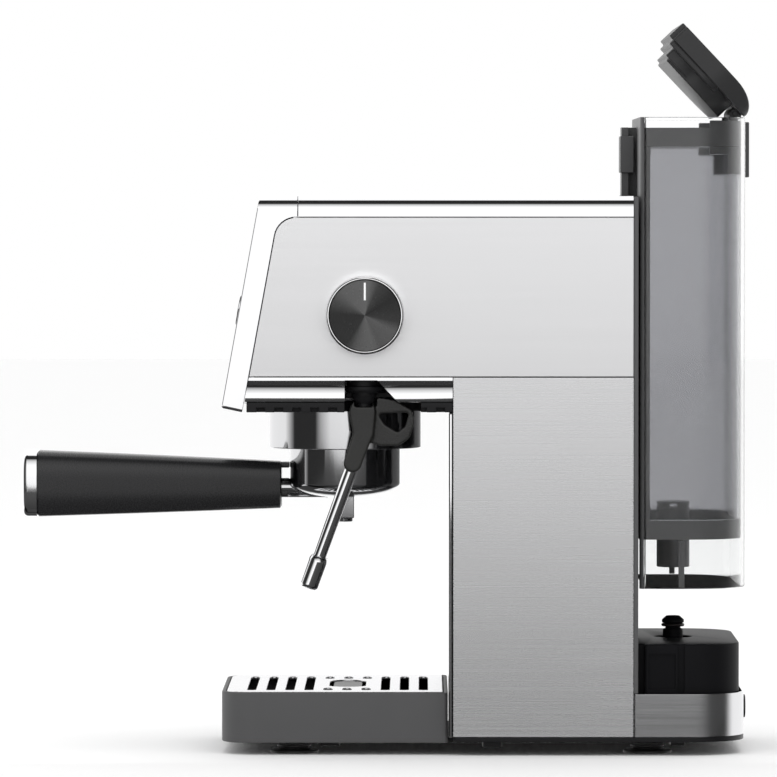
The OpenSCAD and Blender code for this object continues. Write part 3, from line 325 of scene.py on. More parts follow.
class Shape:
    """A mesh in the making, in metres and in the frame's axes."""

    def __init__(self) -> None:
        """Starts an empty mesh."""
        self.mesh = bmesh.new()

    @classmethod
    def of(cls, *nodes: str) -> "Shape":
        """A copy of CAD nodes, with their triangles merged into whole faces."""
        shape = cls()
        for node in nodes:
            shape.mesh.from_mesh(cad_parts[node].data)
        bmesh.ops.remove_doubles(shape.mesh, verts=shape.mesh.verts, dist=MERGE_DISTANCE)
        bmesh.ops.dissolve_limit(
            shape.mesh, angle_limit=math.radians(0.6), verts=shape.mesh.verts, edges=shape.mesh.edges
        )
        return shape

    def loft(self, rings: Sequence[Sequence[Vector]]) -> "Shape":
        """Joins closed rings of points in order, and closes both ends."""
        loops = []
        for ring in rings:
            verts = [self.mesh.verts.new(point) for point in ring]
            pairs = zip(verts, verts[1:] + verts[:1])
            loops.append([self.mesh.edges.new(pair) for pair in pairs])
        for first, second in zip(loops, loops[1:]):
            bmesh.ops.bridge_loops(self.mesh, edges=first + second)
        for loop in (loops[0], loops[-1]):
            bmesh.ops.contextual_create(self.mesh, geom=loop)
        return self.tidy()

    def turn(
        self, profile: Sequence[Point], centre: Vector, axis: Vector, side: Vector, steps: int = 96
    ) -> "Shape":
        """Spins an outline of (radius, height) points all the way round an axis.

        Args:
            profile: the outline; where it starts and ends at radius 0 the shape is closed.
            centre: the point on the axis at height 0.
            axis: the way that heights are measured.
            side: the way that the outline's radius is drawn before it spins.
            steps: facets round the axis.

        Returns:
            The shape itself.
        """
        verts = [self.mesh.verts.new(centre + side * r + axis * h) for r, h in profile]
        edges = [self.mesh.edges.new(pair) for pair in zip(verts, verts[1:])]
        bmesh.ops.spin(
            self.mesh, geom=verts + edges, cent=centre, axis=axis, angle=math.tau, steps=steps,
            use_merge=True, use_duplicate=False,
        )
        return self.tidy()

    def prism(self, outline: Sequence[Vector], along: Vector) -> "Shape":
        """Extrudes a closed outline along a vector."""
        return self.loft([[Vector(p) for p in outline], [Vector(p) + along for p in outline]])

    def tidy(self) -> "Shape":
        """Merges doubled vertices and turns the faces outwards."""
        bmesh.ops.remove_doubles(self.mesh, verts=self.mesh.verts, dist=MERGE_DISTANCE)
        bmesh.ops.recalc_face_normals(self.mesh, faces=self.mesh.faces)
        return self

    def bevel(
        self, width: float, segments: int = 2, sharper_than: float = 28.0,
        where: Callable[[bmesh.types.BMEdge], bool] | None = None,
    ) -> "Shape":
        """Rounds sharp edges.

        Args:
            width: how far from the edge the rounding starts.
            segments: faces across the rounding.
            sharper_than: only edges that turn by more than this many degrees are rounded.
            where: a test that an edge has to pass too.

        Returns:
            The shape itself.
        """
        chosen = [
            edge for edge in self.mesh.edges
            if len(edge.link_faces) == 2
            and edge.calc_face_angle(0.0) > math.radians(sharper_than)
            and (where is None or where(edge))
        ]
        bmesh.ops.bevel(
            self.mesh, geom=chosen, offset=width, offset_type="OFFSET", segments=segments,
            profile=0.5, affect="EDGES", material=-1, clamp_overlap=False, loop_slide=True,
        )
        return self

    def loose(self, name: str) -> bpy.types.Object:
        """An object with the mesh so far, in the scene but not yet part of the machine."""
        mesh = bpy.data.meshes.new(name)
        self.mesh.to_mesh(mesh)
        for left_over in ("custom_normal", "sharp_edge", "sharp_face"):
            attribute = mesh.attributes.get(left_over)
            if attribute:
                mesh.attributes.remove(attribute)
        thing = bpy.data.objects.new(name, mesh)
        bpy.context.scene.collection.objects.link(thing)
        return thing

    def modified(self, change: Callable[[bpy.types.Object], None]) -> "Shape":
        """Applies modifiers.

        Args:
            change: adds the modifiers to the object that it is given.

        Returns:
            The shape itself, with the modifiers' result.
        """
        thing = self.loose("in_the_making")
        change(thing)
        graph = bpy.context.evaluated_depsgraph_get()
        result = bpy.data.meshes.new_from_object(thing.evaluated_get(graph))
        self.mesh.clear()
        self.mesh.from_mesh(result)
        bpy.data.objects.remove(thing)
        bpy.data.meshes.remove(result)
        return self

    def block(self, low: Vector, high: Vector) -> "Shape":
        """Adds a box between two corners."""
        size = high - low
        place = Matrix.LocRotScale((low + high) / 2, None, size)
        bmesh.ops.create_cube(self.mesh, size=1.0, matrix=place)
        return self

    def cut(self, tool: "Shape", how: str = "DIFFERENCE") -> "Shape":
        """Takes the tool's space out of the shape, or keeps only what lies in it."""
        cutter = tool.loose("cutter")

        def change(thing: bpy.types.Object) -> None:
            """Adds the boolean."""
            modifier = thing.modifiers.new("cut", "BOOLEAN")
            modifier.operation = how
            modifier.solver = "EXACT"
            modifier.object = cutter

        self.modified(change)
        bpy.data.objects.remove(cutter)
        return self


# ---------------------------------------------------------------- sub-assemblies


@dataclass
class SubAssembly:
    """Pieces that belong together, and the ways in which they are dressed."""

    body: str = "machine"

    def keep(self, finish: Finish, *nodes: str) -> None:
        """Gives CAD nodes that stay as they are their finish."""
        for node in nodes:
            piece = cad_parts[node]
            if not piece.material_slots:
                piece.data.materials.append(None)
            for holder in piece.material_slots:
                holder.material = finish.material()
            log.info("%s keeps its shape, in %s", node, finish.name)

    def add(
        self, shape: Shape, name: str, finish: Finish, replaces: Iterable[str] = (),
        smooth: float = 35.0, weighted: bool = True, body: str | None = None,
    ) -> bpy.types.Object:
        """Makes a finished piece that rides on the sub-assembly's body.

        Args:
            shape: its mesh.
            name: its name.
            finish: its surface.
            replaces: the CAD nodes that it stands for.
            smooth: edges that turn by less than this many degrees are shaded smooth.
            weighted: whether flat faces keep their own normals beside rounded edges.
            body: another body to ride on.

        Returns:
            The piece.
        """
        piece = shape.loose(name)
        piece.data.polygons.foreach_set("use_smooth", [True] * len(piece.data.polygons))
        piece.data.set_sharp_from_angle(angle=math.radians(smooth))
        piece.data.materials.clear()
        piece.data.materials.append(finish.material())
        if weighted:
            modifier = piece.modifiers.new("flat_faces_stay_flat", "WEIGHTED_NORMAL")
            modifier.keep_sharp = True
            modifier.weight = 100
        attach(piece, body or self.body)
        if replaces:
            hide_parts(*replaces)
        log.info("%s rides on %s, in %s", name, body or self.body, finish.name)
        return piece

    def refine(
        self, node: str, finish: Finish, width: float = 0.3 * MM, segments: int = 2,
        body: str | None = None,
    ) -> bpy.types.Object:
        """Replaces a CAD node by a copy with rounded edges."""
        shape = Shape.of(node).bevel(width, segments)
        return self.add(shape, f"{node}_finished", finish, (node,), body=body)


@dataclass
class Base(SubAssembly):
    """The base plate with its feet, the steel strip and the seat that the tank stands on."""

    foot_radius: float = 13.5 * MM
    foot_lip: float = 1.3 * MM
    foot_neck: float = 4.2 * MM
    foot_waist: float = 7.6 * MM

    def build(self) -> None:
        """Builds and dresses the base."""
        self.refine("base_plate", DARK_MOULDING, 0.4 * MM)
        self.refine("base_strip", STEEL_AROUND, 0.25 * MM)
        self.seat()
        self.refine("cord_gland", SOFT_RUBBER, 0.6 * MM, 3)
        self.keep(SEAL_RUBBER, "inlet_seal")
        self.keep(SCREW_STEEL, "screws")
        self.feet()
        self.inlet_post()

    def seat(self) -> None:
        """The tank's seat, with a soft upper rim."""
        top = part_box("tank_seat")[1].z

        def is_rim(edge: bmesh.types.BMEdge) -> bool:
            """Whether the edge lies in the seat's top."""
            return all(v.co.z > top - 0.1 * MM for v in edge.verts)

        shape = Shape.of("tank_seat").bevel(0.8 * MM, 3, 60.0, is_rim)
        self.add(shape, "tank_seat_finished", SEAT_BLACK, ("tank_seat",), weighted=False)

    def feet(self) -> None:
        """Four flared suction feet."""
        low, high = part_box("feet")
        plate_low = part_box("base_plate")[0].z
        radius = self.foot_radius
        profile = rounded([
            (0, 0.6 * MM, 0), (radius - 4 * MM, 0.6 * MM, 0.3 * MM), (radius - 3.4 * MM, 0, 0.2 * MM),
            (radius, 0, 0.3 * MM), (radius - 0.2 * MM, self.foot_lip, 0.5 * MM),
            (self.foot_waist, plate_low - 2.2 * MM, 1.6 * MM),
            (self.foot_waist, plate_low - 1.4 * MM, 0.4 * MM),
            (radius - self.foot_neck, plate_low - 0.9 * MM, 0.4 * MM),
            (radius - self.foot_neck, plate_low, 0.1 * MM),
            (0, plate_low, 0),
        ], 4)
        shape = Shape()
        for x in (low.x + radius, high.x - radius):
            for y in (low.y + radius, high.y - radius):
                shape.turn(profile, Vector((x, y, 0)), Vector((0, 0, 1)), Vector((1, 0, 0)), 64)
        self.add(shape, "suction_feet", SOFT_RUBBER, ("feet",))

    def inlet_post(self) -> None:
        """The water inlet: a cone with a mushroom head."""
        low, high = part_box("water_inlet_post")
        centre = (low + high) / 2
        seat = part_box("tank_seat")[1].z
        top = high.z - seat
        profile = rounded([
            (2.2 * MM, low.z - seat, 0), (4.8 * MM, low.z - seat, 0.4 * MM),
            (4.8 * MM, -20.2 * MM, 0.2 * MM), (10.2 * MM, -20.2 * MM, 0.4 * MM),
            (10.2 * MM, -18.6 * MM, 0.4 * MM), (6.2 * MM, -18.0 * MM, 0.6 * MM),
            (5.6 * MM, top - 7.6 * MM, 0.3 * MM), (4.2 * MM, top - 6.8 * MM, 0.4 * MM),
            (4.2 * MM, top - 4.6 * MM, 0.4 * MM), (6.2 * MM, top - 3.8 * MM, 0.5 * MM),
            (6.2 * MM, top - 2.2 * MM, 0.7 * MM), (3.6 * MM, top, 0.8 * MM), (2.2 * MM, top, 0.2 * MM),
            (2.2 * MM, low.z - seat, 0),
        ], 4)
        foot = Vector((centre.x, centre.y, seat))
        shape = Shape().turn(profile, foot, Vector((0, 0, 1)), Vector((1, 0, 0)), 64)
        self.add(shape, "water_inlet_post_finished", SEAT_BLACK, ("water_inlet_post",))


@dataclass
class Casing(SubAssembly):
    """Column and head: steel sheets, bright bands, the toothed plate under the head."""

    shoulder: float = 7.2 * MM
    skirt_arc: float = 14.0 * MM
    skirt_start: float = 41.0
    bead: float = 1.7 * MM
    lip: float = 1.3 * MM
    foot_round: float = 1.6 * MM
    front_round: float = 1.2 * MM
    notch_reach: float = 10.5 * MM
    side_band: float = 12.3 * MM
    skirt_wall: float = 1.6 * MM

    def build(self) -> None:
        """Builds and dresses the casing."""
        for node in ("left_side_panel", "right_side_panel"):
            self.refine(node, STEEL_SIDE, 0.3 * MM)
        for node in ("left_upper_panel", "right_upper_panel"):
            self.refine(node, STEEL_UPPER, 0.45 * MM)
        self.refine("column_front", GLOSS_BLACK, 0.6 * MM)
        self.refine("column_trims", CHROME, 0.2 * MM)
        self.refine("rear_wall", GREY_MOULDING, 0.5 * MM)
        self.refine("cup_warmer", STEEL_FLAT, 0.12 * MM)
        self.refine("head_underside", DARK_MOULDING, 0.35 * MM)
        self.keep(GREY_MOULDING, "inner_frame")
        self.top_cover()
        self.fascia()
        self.skirt()

    def top_cover(self) -> None:
        """The bright top, with a broad shoulder along each side."""
        shape = Shape.of("top_cover").cut(self.shoulders()).bevel(0.2 * MM, 1, 50.0)
        self.add(shape, "top_cover_finished", CHROME, ("top_cover",), weighted=False)

    def shoulders(self) -> Shape:
        """What the two rounded shoulders take off the upper side edges, all along the machine."""
        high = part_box("top_cover")[1]
        r = self.shoulder
        arc = [math.radians(90 * i / 16) for i in range(17)]
        waste = Shape()
        for sign in (-1, 1):
            outline = [Vector((sign * (high.x - r + r * math.cos(a)), -0.3, high.z - r + r * math.sin(a)))
                       for a in arc]
            outline += [Vector((sign * (high.x - r), -0.3, high.z + MM)),
                        Vector((sign * (high.x + MM), -0.3, high.z + MM)),
                        Vector((sign * (high.x + MM), -0.3, high.z - r))]
            waste.prism(outline, Vector((0, 0.6, 0)))
        return waste

    def fascia(self) -> None:
        """The leaning front, whose upper side edges carry the top's shoulders to its tip."""
        low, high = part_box("front_fascia")

        def is_foot(edge: bmesh.types.BMEdge) -> bool:
            """Whether the edge runs along the foot of one of the two outer sides."""
            return all(abs(v.co.x) > high.x - 0.1 * MM and v.co.z < low.z + 6 * MM for v in edge.verts)

        def is_front(edge: bmesh.types.BMEdge) -> bool:
            """Whether the edge runs up one of the two front corners."""
            first, second = (v.co for v in edge.verts)
            at_side = min(abs(first.x), abs(second.x)) > high.x - 0.1 * MM
            fronts = [low.y + (p.z - low.z) * math.tan(FRONT_LEAN) for p in (first, second)]
            at_front = all(abs(p.y - front) < 3 * MM for p, front in zip((first, second), fronts))
            return at_side and at_front and abs(first.z - second.z) > 40 * MM

        shape = Shape.of("front_fascia").cut(self.shoulders())
        shape.bevel(self.foot_round, 5, 40.0, is_foot)
        shape.bevel(self.front_round, 4, 40.0, is_front).bevel(0.25 * MM, 2, 40.0)
        self.add(shape, "front_fascia_finished", CHROME, ("front_fascia",))

    def skirt(self) -> None:
        """The bright skirt under the head: a bead over a hollow shoulder, notched for the wand."""
        low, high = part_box("head_skirt")
        fascia_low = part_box("front_fascia")[0]
        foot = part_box("head_underside")[0].z + 2.4 * MM
        neck = high.z - self.bead
        r, start = self.skirt_arc, math.radians(self.skirt_start)
        wall = self.skirt_wall
        outline = [(high.x, high.z), (high.x, neck)]
        outline += [(high.x - r + r * math.cos(start * (1 - i / 14)), neck - r * math.sin(start)
                     + r * math.sin(start * (1 - i / 14))) for i in range(15)]
        lip = self.lip
        outline += [(high.x - lip + lip * math.cos(a), low.z + lip - lip * math.sin(a))
                    for a in (math.radians(90 * i / 5) for i in range(6))]
        inner = high.x - r + r * math.cos(start) - wall
        outline += [(high.x - lip - wall, low.z), (high.x - wall - 0.4 * MM, neck - r * math.sin(start)),
                    (inner, neck - 0.4 * MM), (inner, high.z)]
        shape = Shape()
        for sign in (-1, 1):
            front = [Vector((sign * x, fascia_low.y + (z - foot) * math.tan(FRONT_LEAN) + self.side_band, z))
                     for x, z in outline]
            rear = [Vector((sign * x, high.y, z)) for x, z in outline]
            shape.loft([front, rear])
        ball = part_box("wand_ball")
        wand_y = (ball[0].y + ball[1].y) / 2
        side = [(wand_y - self.notch_reach, low.z - MM), (wand_y - self.notch_reach, high.z - 1.5 * MM),
                (wand_y + 7.5 * MM, high.z - 1.5 * MM), (wand_y + 20 * MM, low.z - MM)]
        notch = Shape().prism([Vector((0.05, y, z)) for y, z in side], Vector((0.05, 0, 0)))
        self.add(shape.cut(notch), "head_skirt_finished", CHROME, ("head_skirt",), weighted=False)


@dataclass
class Controls(SubAssembly):
    """The front's control panel with its three buttons and lamps, and the board behind it."""

    def build(self) -> None:
        """Builds and dresses the controls."""
        self.refine("control_panel", GLOSS_BLACK, 0.4 * MM)
        self.refine("indicator_lights", LAMP, 0.3 * MM)
        self.refine("control_board", BOARD, 0.15 * MM, 1)
        for name in ("power_button", "coffee_button", "steam_button"):
            self.refine(name, CHROME, 0.7 * MM, 4, body=name)


@dataclass
class Works(SubAssembly):
    """What is inside: pump, boiler, hoses and valve."""

    def build(self) -> None:
        """Dresses the inner pieces."""
        self.keep(CAST_ALUMINIUM, "pump", "boiler", "group_head")
        self.keep(SOFT_RUBBER, "pump_mounts", "group_gasket")
        self.keep(SILICONE, "suction_hose", "brew_pipe")
        self.keep(BRASS, "thermostats", "steam_valve", "steam_pipe")
        self.keep(BRASS, "steam_spindle")


@dataclass
class Group(SubAssembly):
    """The brew group that shows under the head."""

    def build(self) -> None:
        """Builds and dresses the group."""
        self.refine("group_collar", DARK_CHROME, 0.5 * MM, 3)
        self.keep(STEEL_FLAT, "shower_screen")


@dataclass
class FilterHolder(SubAssembly):
    """Filter holder with its basket, neck, grip and bright end cap."""

    body: str = "portafilter"
    squareness: float = 4.2
    facets: int = 72

    def build(self) -> None:
        """Builds and dresses the filter holder."""
        self.refine("filter_holder", DARK_CHROME, 0.5 * MM, 3)
        self.refine("holder_handle", DARK_CHROME, 0.6 * MM, 3)
        self.keep(STEEL_AROUND, "filter_basket")
        self.grip()
        self.cap()

    def section(self, y: float, half: Vector, middle: float, inset: float = 0.0) -> list[Vector]:
        """An oblong section of the grip, with crowned sides.

        Args:
            y: where the section stands.
            half: half its width and half its height.
            middle: the height of its middle.
            inset: how far its outline is drawn in.

        Returns:
            Its points, in order.
        """
        points = []
        for i in range(self.facets):
            a = math.tau * (i + 0.5) / self.facets
            u, v = math.cos(a), math.sin(a)
            x = math.copysign(abs(u) ** (2 / self.squareness), u) * (half.x - inset)
            z = math.copysign(abs(v) ** (2 / self.squareness), v) * (half.y - inset)
            points.append(Vector((x, y, middle + z)))
        return points

    def grip(self) -> None:
        """The satin grip, which widens towards its end."""
        low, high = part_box("handle_grip")
        far = low.y
        start_y = high.y - 4.4 * MM
        middle = (low.z + high.z) / 2
        small = Vector((12 * MM, 13.1 * MM))
        large = Vector((high.x, (high.z - low.z) / 2))
        rings = [self.section(start_y, small, middle - 0.7 * MM, 1.2 * MM)]
        for i in range(9):
            t = i / 8
            ease = t * (1.15 - 0.15 * t)
            y = start_y - 0.8 * MM + (far + 0.5 * MM - start_y + 0.8 * MM) * t
            rings.append(self.section(y, small.lerp(large, ease), middle - 0.7 * MM * (1 - ease)))
        rings.append(self.section(far, large, middle, 0.5 * MM))
        shape = Shape().loft(rings)
        for z_low, z_high, reach in ((9.6, 12.7, 4.4), (-6.6, -3.4, 3.6)):
            outline = [Vector((x * 6 * MM, start_y - 2 * MM, middle - 0.7 * MM + z * MM))
                       for x, z in ((-1, z_low), (1, z_low), (1, z_high), (-1, z_high))]
            shape.prism(outline, Vector((0, reach * MM + 2 * MM, 0)))
        shape.bevel(0.5 * MM, 2, 60.0)
        self.add(shape, "handle_grip_finished", SATIN_BLACK, ("handle_grip",), 40.0)

    def cap(self) -> None:
        """The bright cap, with a rounded outer rim."""
        low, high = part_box("handle_cap")
        middle = (low.z + high.z) / 2
        half = Vector((high.x, (high.z - low.z) / 2))
        rim = 3.2 * MM
        rings = [self.section(high.y, half, middle, 0.5 * MM),
                 self.section(high.y - 0.5 * MM, half, middle)]
        for i in range(7):
            a = math.radians(90 * i / 6)
            y = low.y + rim - rim * math.sin(a)
            rings.append(self.section(y, half, middle, rim * (1 - math.cos(a))))
        self.add(Shape().loft(rings), "handle_cap_finished", CHROME, ("handle_cap",), 40.0)


@dataclass
class SteamKnob(SubAssembly):
    """The steam knob: bright ring, black core, spun face and white pointer."""

    body: str = "knob"
    pointer: tuple[float, float] = (1.1 * MM, 9.8 * MM)

    def build(self) -> None:
        """Builds and dresses the knob."""
        low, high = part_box("knob_face")
        centre = (low + high) / 2
        # The face's base colour is a painted reflection fan of light and dark wedges, not the metal's own
        # tone.
        spun = SpunFinish("spun_dark_face_painted_reflection", "spun_metal", (0.115, 0.115, 0.118), 0.30, 1.0, 0.05,
                          0.04, Grain.COARSE, 0.03, centre=tuple(centre))
        self.refine("knob_ring", CHROME, 0.3 * MM, 3)
        self.refine("knob_core", DARK_MOULDING, 0.3 * MM)
        self.face(centre, spun)
        outline = [Vector((high.x - 0.9 * MM, centre.y + y * self.pointer[0] / 2, centre.z + z * MM))
                   for y, z in ((-1, 8.3), (1, 8.3), (1, 18.0), (-1, 18.0))]
        mark = Shape().prism(outline, Vector((0.95 * MM, 0, 0)))
        self.add(mark.bevel(0.12 * MM), "knob_pointer", WHITE_MARK)

    def face(self, centre: Vector, spun: Finish) -> None:
        """The spun face: a flat disc with fine turned rings and a chamfered rim."""
        low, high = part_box("knob_face")
        radius = (high.y - low.y) / 2
        rings = 26
        profile: list[Point] = [(0.0, low.x), (radius, low.x), (radius, high.x - 0.25 * MM)]
        for i in range(rings * 2, -1, -1):
            r = (radius - 0.3 * MM) * i / (rings * 2)
            profile.append((r, high.x - (0.012 * MM if i % 2 else 0.0)))
        middle = Vector((0, centre.y, centre.z))
        shape = Shape().turn(profile, middle, Vector((1, 0, 0)), Vector((0, 1, 0)), 128)
        self.add(shape, "knob_face_finished", spun, ("knob_face",), 35.0, weighted=False)


@dataclass
class SteamWand(SubAssembly):
    """The steam wand: swivel, ball, rubber sleeve with its finger loop, tube and nozzle."""

    body: str = "wand"
    skin_voxel: float = 0.42 * MM

    def build(self) -> None:
        """Builds and dresses the wand."""
        self.refine("wand_swivel", DARK_MOULDING, 0.4 * MM, body="swivel")
        self.keep(DARK_MOULDING, "wand_ball")
        self.keep(CHROME, "wand_tube")
        self.refine("wand_nozzle", CHROME, 1.5 * MM, 5)
        self.sleeve()

    def sleeve(self) -> None:
        """The moulded rubber sleeve, softened all over."""

        def change(thing: bpy.types.Object) -> None:
            """Remeshes and smooths the sleeve."""
            remesh = thing.modifiers.new("skin", "REMESH")
            remesh.mode = "VOXEL"
            remesh.voxel_size = self.skin_voxel
            smooth = thing.modifiers.new("soften", "SMOOTH")
            smooth.factor = 0.5
            smooth.iterations = 10

        shape = Shape.of("wand_grip").modified(change)
        self.add(shape, "wand_sleeve", WAND_RUBBER, ("wand_grip",), 80.0, weighted=False)


@dataclass
class DripTray(SubAssembly):
    """Drip tray with its slotted grate and float."""

    body: str = "tray"

    def build(self) -> None:
        """Builds and dresses the tray."""
        self.refine("drip_tray", TRAY_MOULDING, 0.8 * MM, 3)
        self.refine("drip_grate", STEEL_FLAT, 0.5 * MM, 3, body="grate")
        self.refine("tray_float", DARK_MOULDING, 0.8 * MM, 3, body="float")


@dataclass
class WaterTank(SubAssembly):
    """The lift-off tank: clear shell, smoked vessel, dark fittings and the hinged lid."""

    body: str = "tank"
    far: float = 0.2
    front_wall: float = 3.2 * MM
    block_drop: float = 20.4 * MM
    step_drop: float = 31.3 * MM
    foot_band: float = 10.5 * MM

    def build(self) -> None:
        """Builds and dresses the tank."""
        self.shell()
        self.vessel()
        self.refine("tank_fittings", GREY_MOULDING, 0.5 * MM, 2)
        self.refine("tank_lid", LID_DARK, 0.7 * MM, 3, body="lid")

    def split(self, node: str, finish: Finish, dark: Sequence[tuple[Vector, Vector]], width: float) -> None:
        """Parts a node into a see-through piece and dark panels.

        Args:
            node: the CAD node.
            finish: the see-through piece's surface.
            dark: two corners of the space of each dark panel.
            width: how far the see-through piece's edges are rounded.
        """
        clear = Shape.of(node)
        for corner, other in dark:
            clear.cut(Shape().block(corner, other))
        self.add(clear.bevel(width, 1), f"{node}_clear", finish, (node,))
        for number, (corner, other) in enumerate(dark, 1):
            panel = Shape.of(node).cut(Shape().block(corner, other), "INTERSECT")
            self.add(panel, f"{node}_dark_{number}", GREY_MOULDING)

    def shell(self) -> None:
        """The clear shell, whose front wall and hanging tongue are dark."""
        low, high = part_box("tank_shell")
        far = self.far
        behind_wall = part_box("tank_vessel")[0].y - 0.1 * MM
        self.split("tank_shell", CLEAR, (
            (Vector((-far, low.y - far, low.z - far)), Vector((far, behind_wall, high.z + far))),
        ), 0.4 * MM)

    def vessel(self) -> None:
        """The smoked vessel, whose front wall, hinge corners and foot are dark."""
        low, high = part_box("tank_vessel")
        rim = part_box("tank_shell")[1].z
        far = self.far
        front = low.y + self.front_wall
        block, step = rim - self.block_drop, rim - self.step_drop
        self.split("tank_vessel", SMOKED, (
            (Vector((-far, low.y - far, low.z - far)), Vector((far, front, high.z + far))),
            (Vector((-far, high.y - 18.6 * MM, block)), Vector((far, high.y + far, high.z + far))),
            (Vector((-far, high.y - 8.6 * MM, step)), Vector((far, high.y + far, block + 0.1 * MM))),
            (Vector((-far, front, low.z - far)), Vector((far, high.y + far, low.z + self.foot_band))),
        ), 0.3 * MM)


# ---------------------------------------------------------------- studio


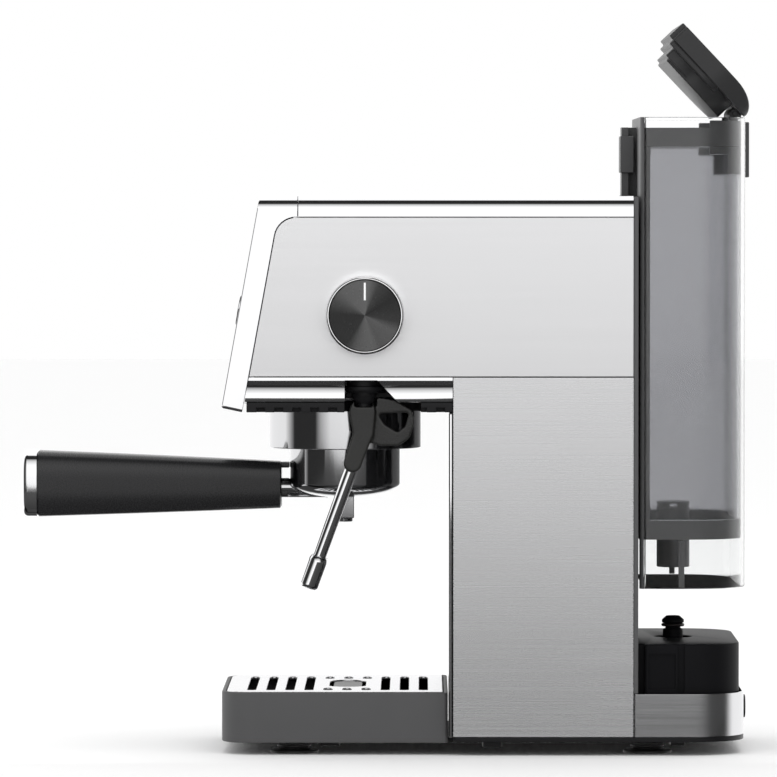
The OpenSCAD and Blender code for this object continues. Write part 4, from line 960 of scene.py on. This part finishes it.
@dataclass
class Studio:
    """A plain pale floor, soft light, and a long lens square on to the machine's knob side."""

    eye: tuple[float, float, float] = (3.815, -0.0283, 0.3089)
    aim: tuple[float, float, float] = (0.075, -0.0456, 0.2025)
    lens: float = 315.0

    def build(self) -> None:
        """Builds the studio."""
        self.camera()
        self.floor()
        self.shade()
        self.sky()
        self.softbox("overhead", (0.4, 0.0, 1.9), (0.0, 0.0, 0.15), (1.8, 1.8), 9.0)
        self.softbox("front_fill", (0.6, -2.2, 1.1), (0.0, 0.0, 0.15), (1.2, 1.0), 4.0)
        bpy.context.scene.view_settings.view_transform = "Standard"

    def camera(self) -> None:
        """The camera."""
        data = bpy.data.cameras.new("camera")
        data.lens = self.lens
        data.clip_end = 50.0
        camera = bpy.data.objects.new("camera", data)
        camera.location = self.eye
        gaze = Vector(self.aim) - Vector(self.eye)
        camera.rotation_euler = gaze.to_track_quat("-Z", "Y").to_euler()
        bpy.context.scene.collection.objects.link(camera)
        bpy.context.scene.camera = camera

    def floor(self) -> None:
        """The floor, a few metres across."""
        mesh = bmesh.new()
        bmesh.ops.create_circle(mesh, cap_ends=True, radius=9.0, segments=96)
        data = bpy.data.meshes.new("floor")
        mesh.to_mesh(data)
        floor = bpy.data.objects.new("floor", data)
        floor.location.z = -0.1 * MM
        paint = Finish("pale_floor", "rubber", (0.985, 0.985, 0.985), 0.7, drift=0.003, relief=0.0)
        floor.data.materials.append(paint.material())
        floor.visible_glossy = False
        bpy.context.scene.collection.objects.link(floor)

    def shade(self) -> None:
        """A dark card on the floor beside the machine, which only its mirror images show."""
        mesh = bmesh.new()
        bmesh.ops.create_grid(mesh, x_segments=1, y_segments=1, size=1.0)
        bmesh.ops.scale(mesh, vec=(1.44, 2.2, 1.0), verts=mesh.verts)
        data = bpy.data.meshes.new("floor_card")
        mesh.to_mesh(data)
        card = bpy.data.objects.new("floor_card", data)
        card.location = (1.56, 0.0, 1 * MM)
        paint = Finish("dark_card", "rubber", (0.03, 0.03, 0.03), 0.9, drift=0.01, relief=0.0)
        card.data.materials.append(paint.material())
        for kind in ("camera", "diffuse", "transmission", "shadow", "volume_scatter"):
            setattr(card, f"visible_{kind}", False)
        bpy.context.scene.collection.objects.link(card)

    def sky(self) -> None:
        """White to the eye; to the machine, a studio with dark gaps between its lights."""
        world = bpy.data.worlds.new("studio")
        bpy.context.scene.world = world
        world.use_nodes = True
        tree = world.node_tree
        tree.nodes.clear()

        def add(kind: str, **settings: object) -> bpy.types.Node:
            """Adds a node to the sky."""
            node = tree.nodes.new(kind)
            for key, value in settings.items():
                setattr(node, key, value)
            return node

        def ramp(stops: Sequence[Point], source: bpy.types.NodeSocket) -> bpy.types.NodeSocket:
            """A grey ramp through the stops."""
            node = add("ShaderNodeValToRGB")
            elements = node.color_ramp.elements
            while len(elements) < len(stops):
                elements.new(0.5)
            for element, (place, level) in zip(elements, stops):
                element.position = place
                element.color = (level, level, level, 1)
            tree.links.new(source, node.inputs["Fac"])
            return node.outputs["Color"]

        def maths(operation: str, *sources: object) -> bpy.types.NodeSocket:
            """One step of arithmetic."""
            node = add("ShaderNodeMath", operation=operation)
            for i, source in enumerate(sources):
                if isinstance(source, bpy.types.NodeSocket):
                    tree.links.new(source, node.inputs[i])
                else:
                    node.inputs[i].default_value = source
            return node.outputs[0]

        way = add("ShaderNodeSeparateXYZ")
        tree.links.new(add("ShaderNodeTexCoord").outputs["Generated"], way.inputs[0])
        height = maths("MULTIPLY_ADD", way.outputs["Z"], 0.5, 0.5)
        turned = maths("ABSOLUTE", maths("ARCTAN2", way.outputs["Y"], way.outputs["X"]))
        bearing = maths("DIVIDE", turned, math.pi)
        level = ramp([(0.0, 0.05), (0.34, 0.05), (0.44, 0.75), (0.49, 1.0), (0.62, 1.0),
                      (0.76, 0.62), (0.835, 0.28), (0.85, 0.02), (0.985, 0.02), (0.998, 1.0)], height)
        around = ramp([(0.0, 1.0), (0.12, 0.95), (0.20, 0.5), (0.25, 0.03), (0.46, 0.03),
                       (0.57, 1.0)], bearing)
        behind = ramp([(0.49, 1.0), (0.51, 0.0)], maths("MULTIPLY_ADD", way.outputs["X"], 0.5, 0.5))
        above = ramp([(0.25, 0.0), (0.32, 1.0)], height)
        steep = ramp([(0.80, 0.0), (0.95, 1.0)], height)
        side = maths("MAXIMUM", around, steep)
        level = maths("MAXIMUM", level, maths("MULTIPLY", behind, above))
        studio = add("ShaderNodeBackground")
        tree.links.new(maths("MULTIPLY", level, side), studio.inputs["Color"])
        studio.inputs["Strength"].default_value = 1.15
        white = add("ShaderNodeBackground")
        white.inputs["Color"].default_value = (1, 1, 1, 1)
        rays = add("ShaderNodeLightPath")
        seen = maths("SUBTRACT", 1.0, rays.outputs["Is Glossy Ray"])
        mix = add("ShaderNodeMixShader")
        tree.links.new(seen, mix.inputs[0])
        tree.links.new(studio.outputs[0], mix.inputs[1])
        tree.links.new(white.outputs[0], mix.inputs[2])
        tree.links.new(mix.outputs[0], add("ShaderNodeOutputWorld").inputs["Surface"])

    def softbox(
        self, name: str, place: Sequence[float], target: Sequence[float], size: Point, watts: float
    ) -> None:
        """One large soft light.

        Args:
            name: its name.
            place: where it hangs.
            target: what it points at.
            size: its width and height.
            watts: its power.
        """
        data = bpy.data.lights.new(name, "AREA")
        data.shape = "RECTANGLE"
        data.size, data.size_y = size
        data.energy = watts
        light = bpy.data.objects.new(name, data)
        light.location = place
        light.rotation_euler = (Vector(target) - Vector(place)).to_track_quat("-Z", "Y").to_euler()
        light.visible_glossy = False
        bpy.context.scene.collection.objects.link(light)


def main() -> None:
    """Builds the studio and every sub-assembly."""
    logging.basicConfig(level=logging.INFO, format="%(name)s: %(message)s")
    Studio().build()
    for part in (Base(), Casing(), Controls(), Works(), Group(), FilterHolder(), SteamKnob(), SteamWand(),
                 DripTray(), WaterTank()):
        part.build()


if __name__ == "__main__":
    main()
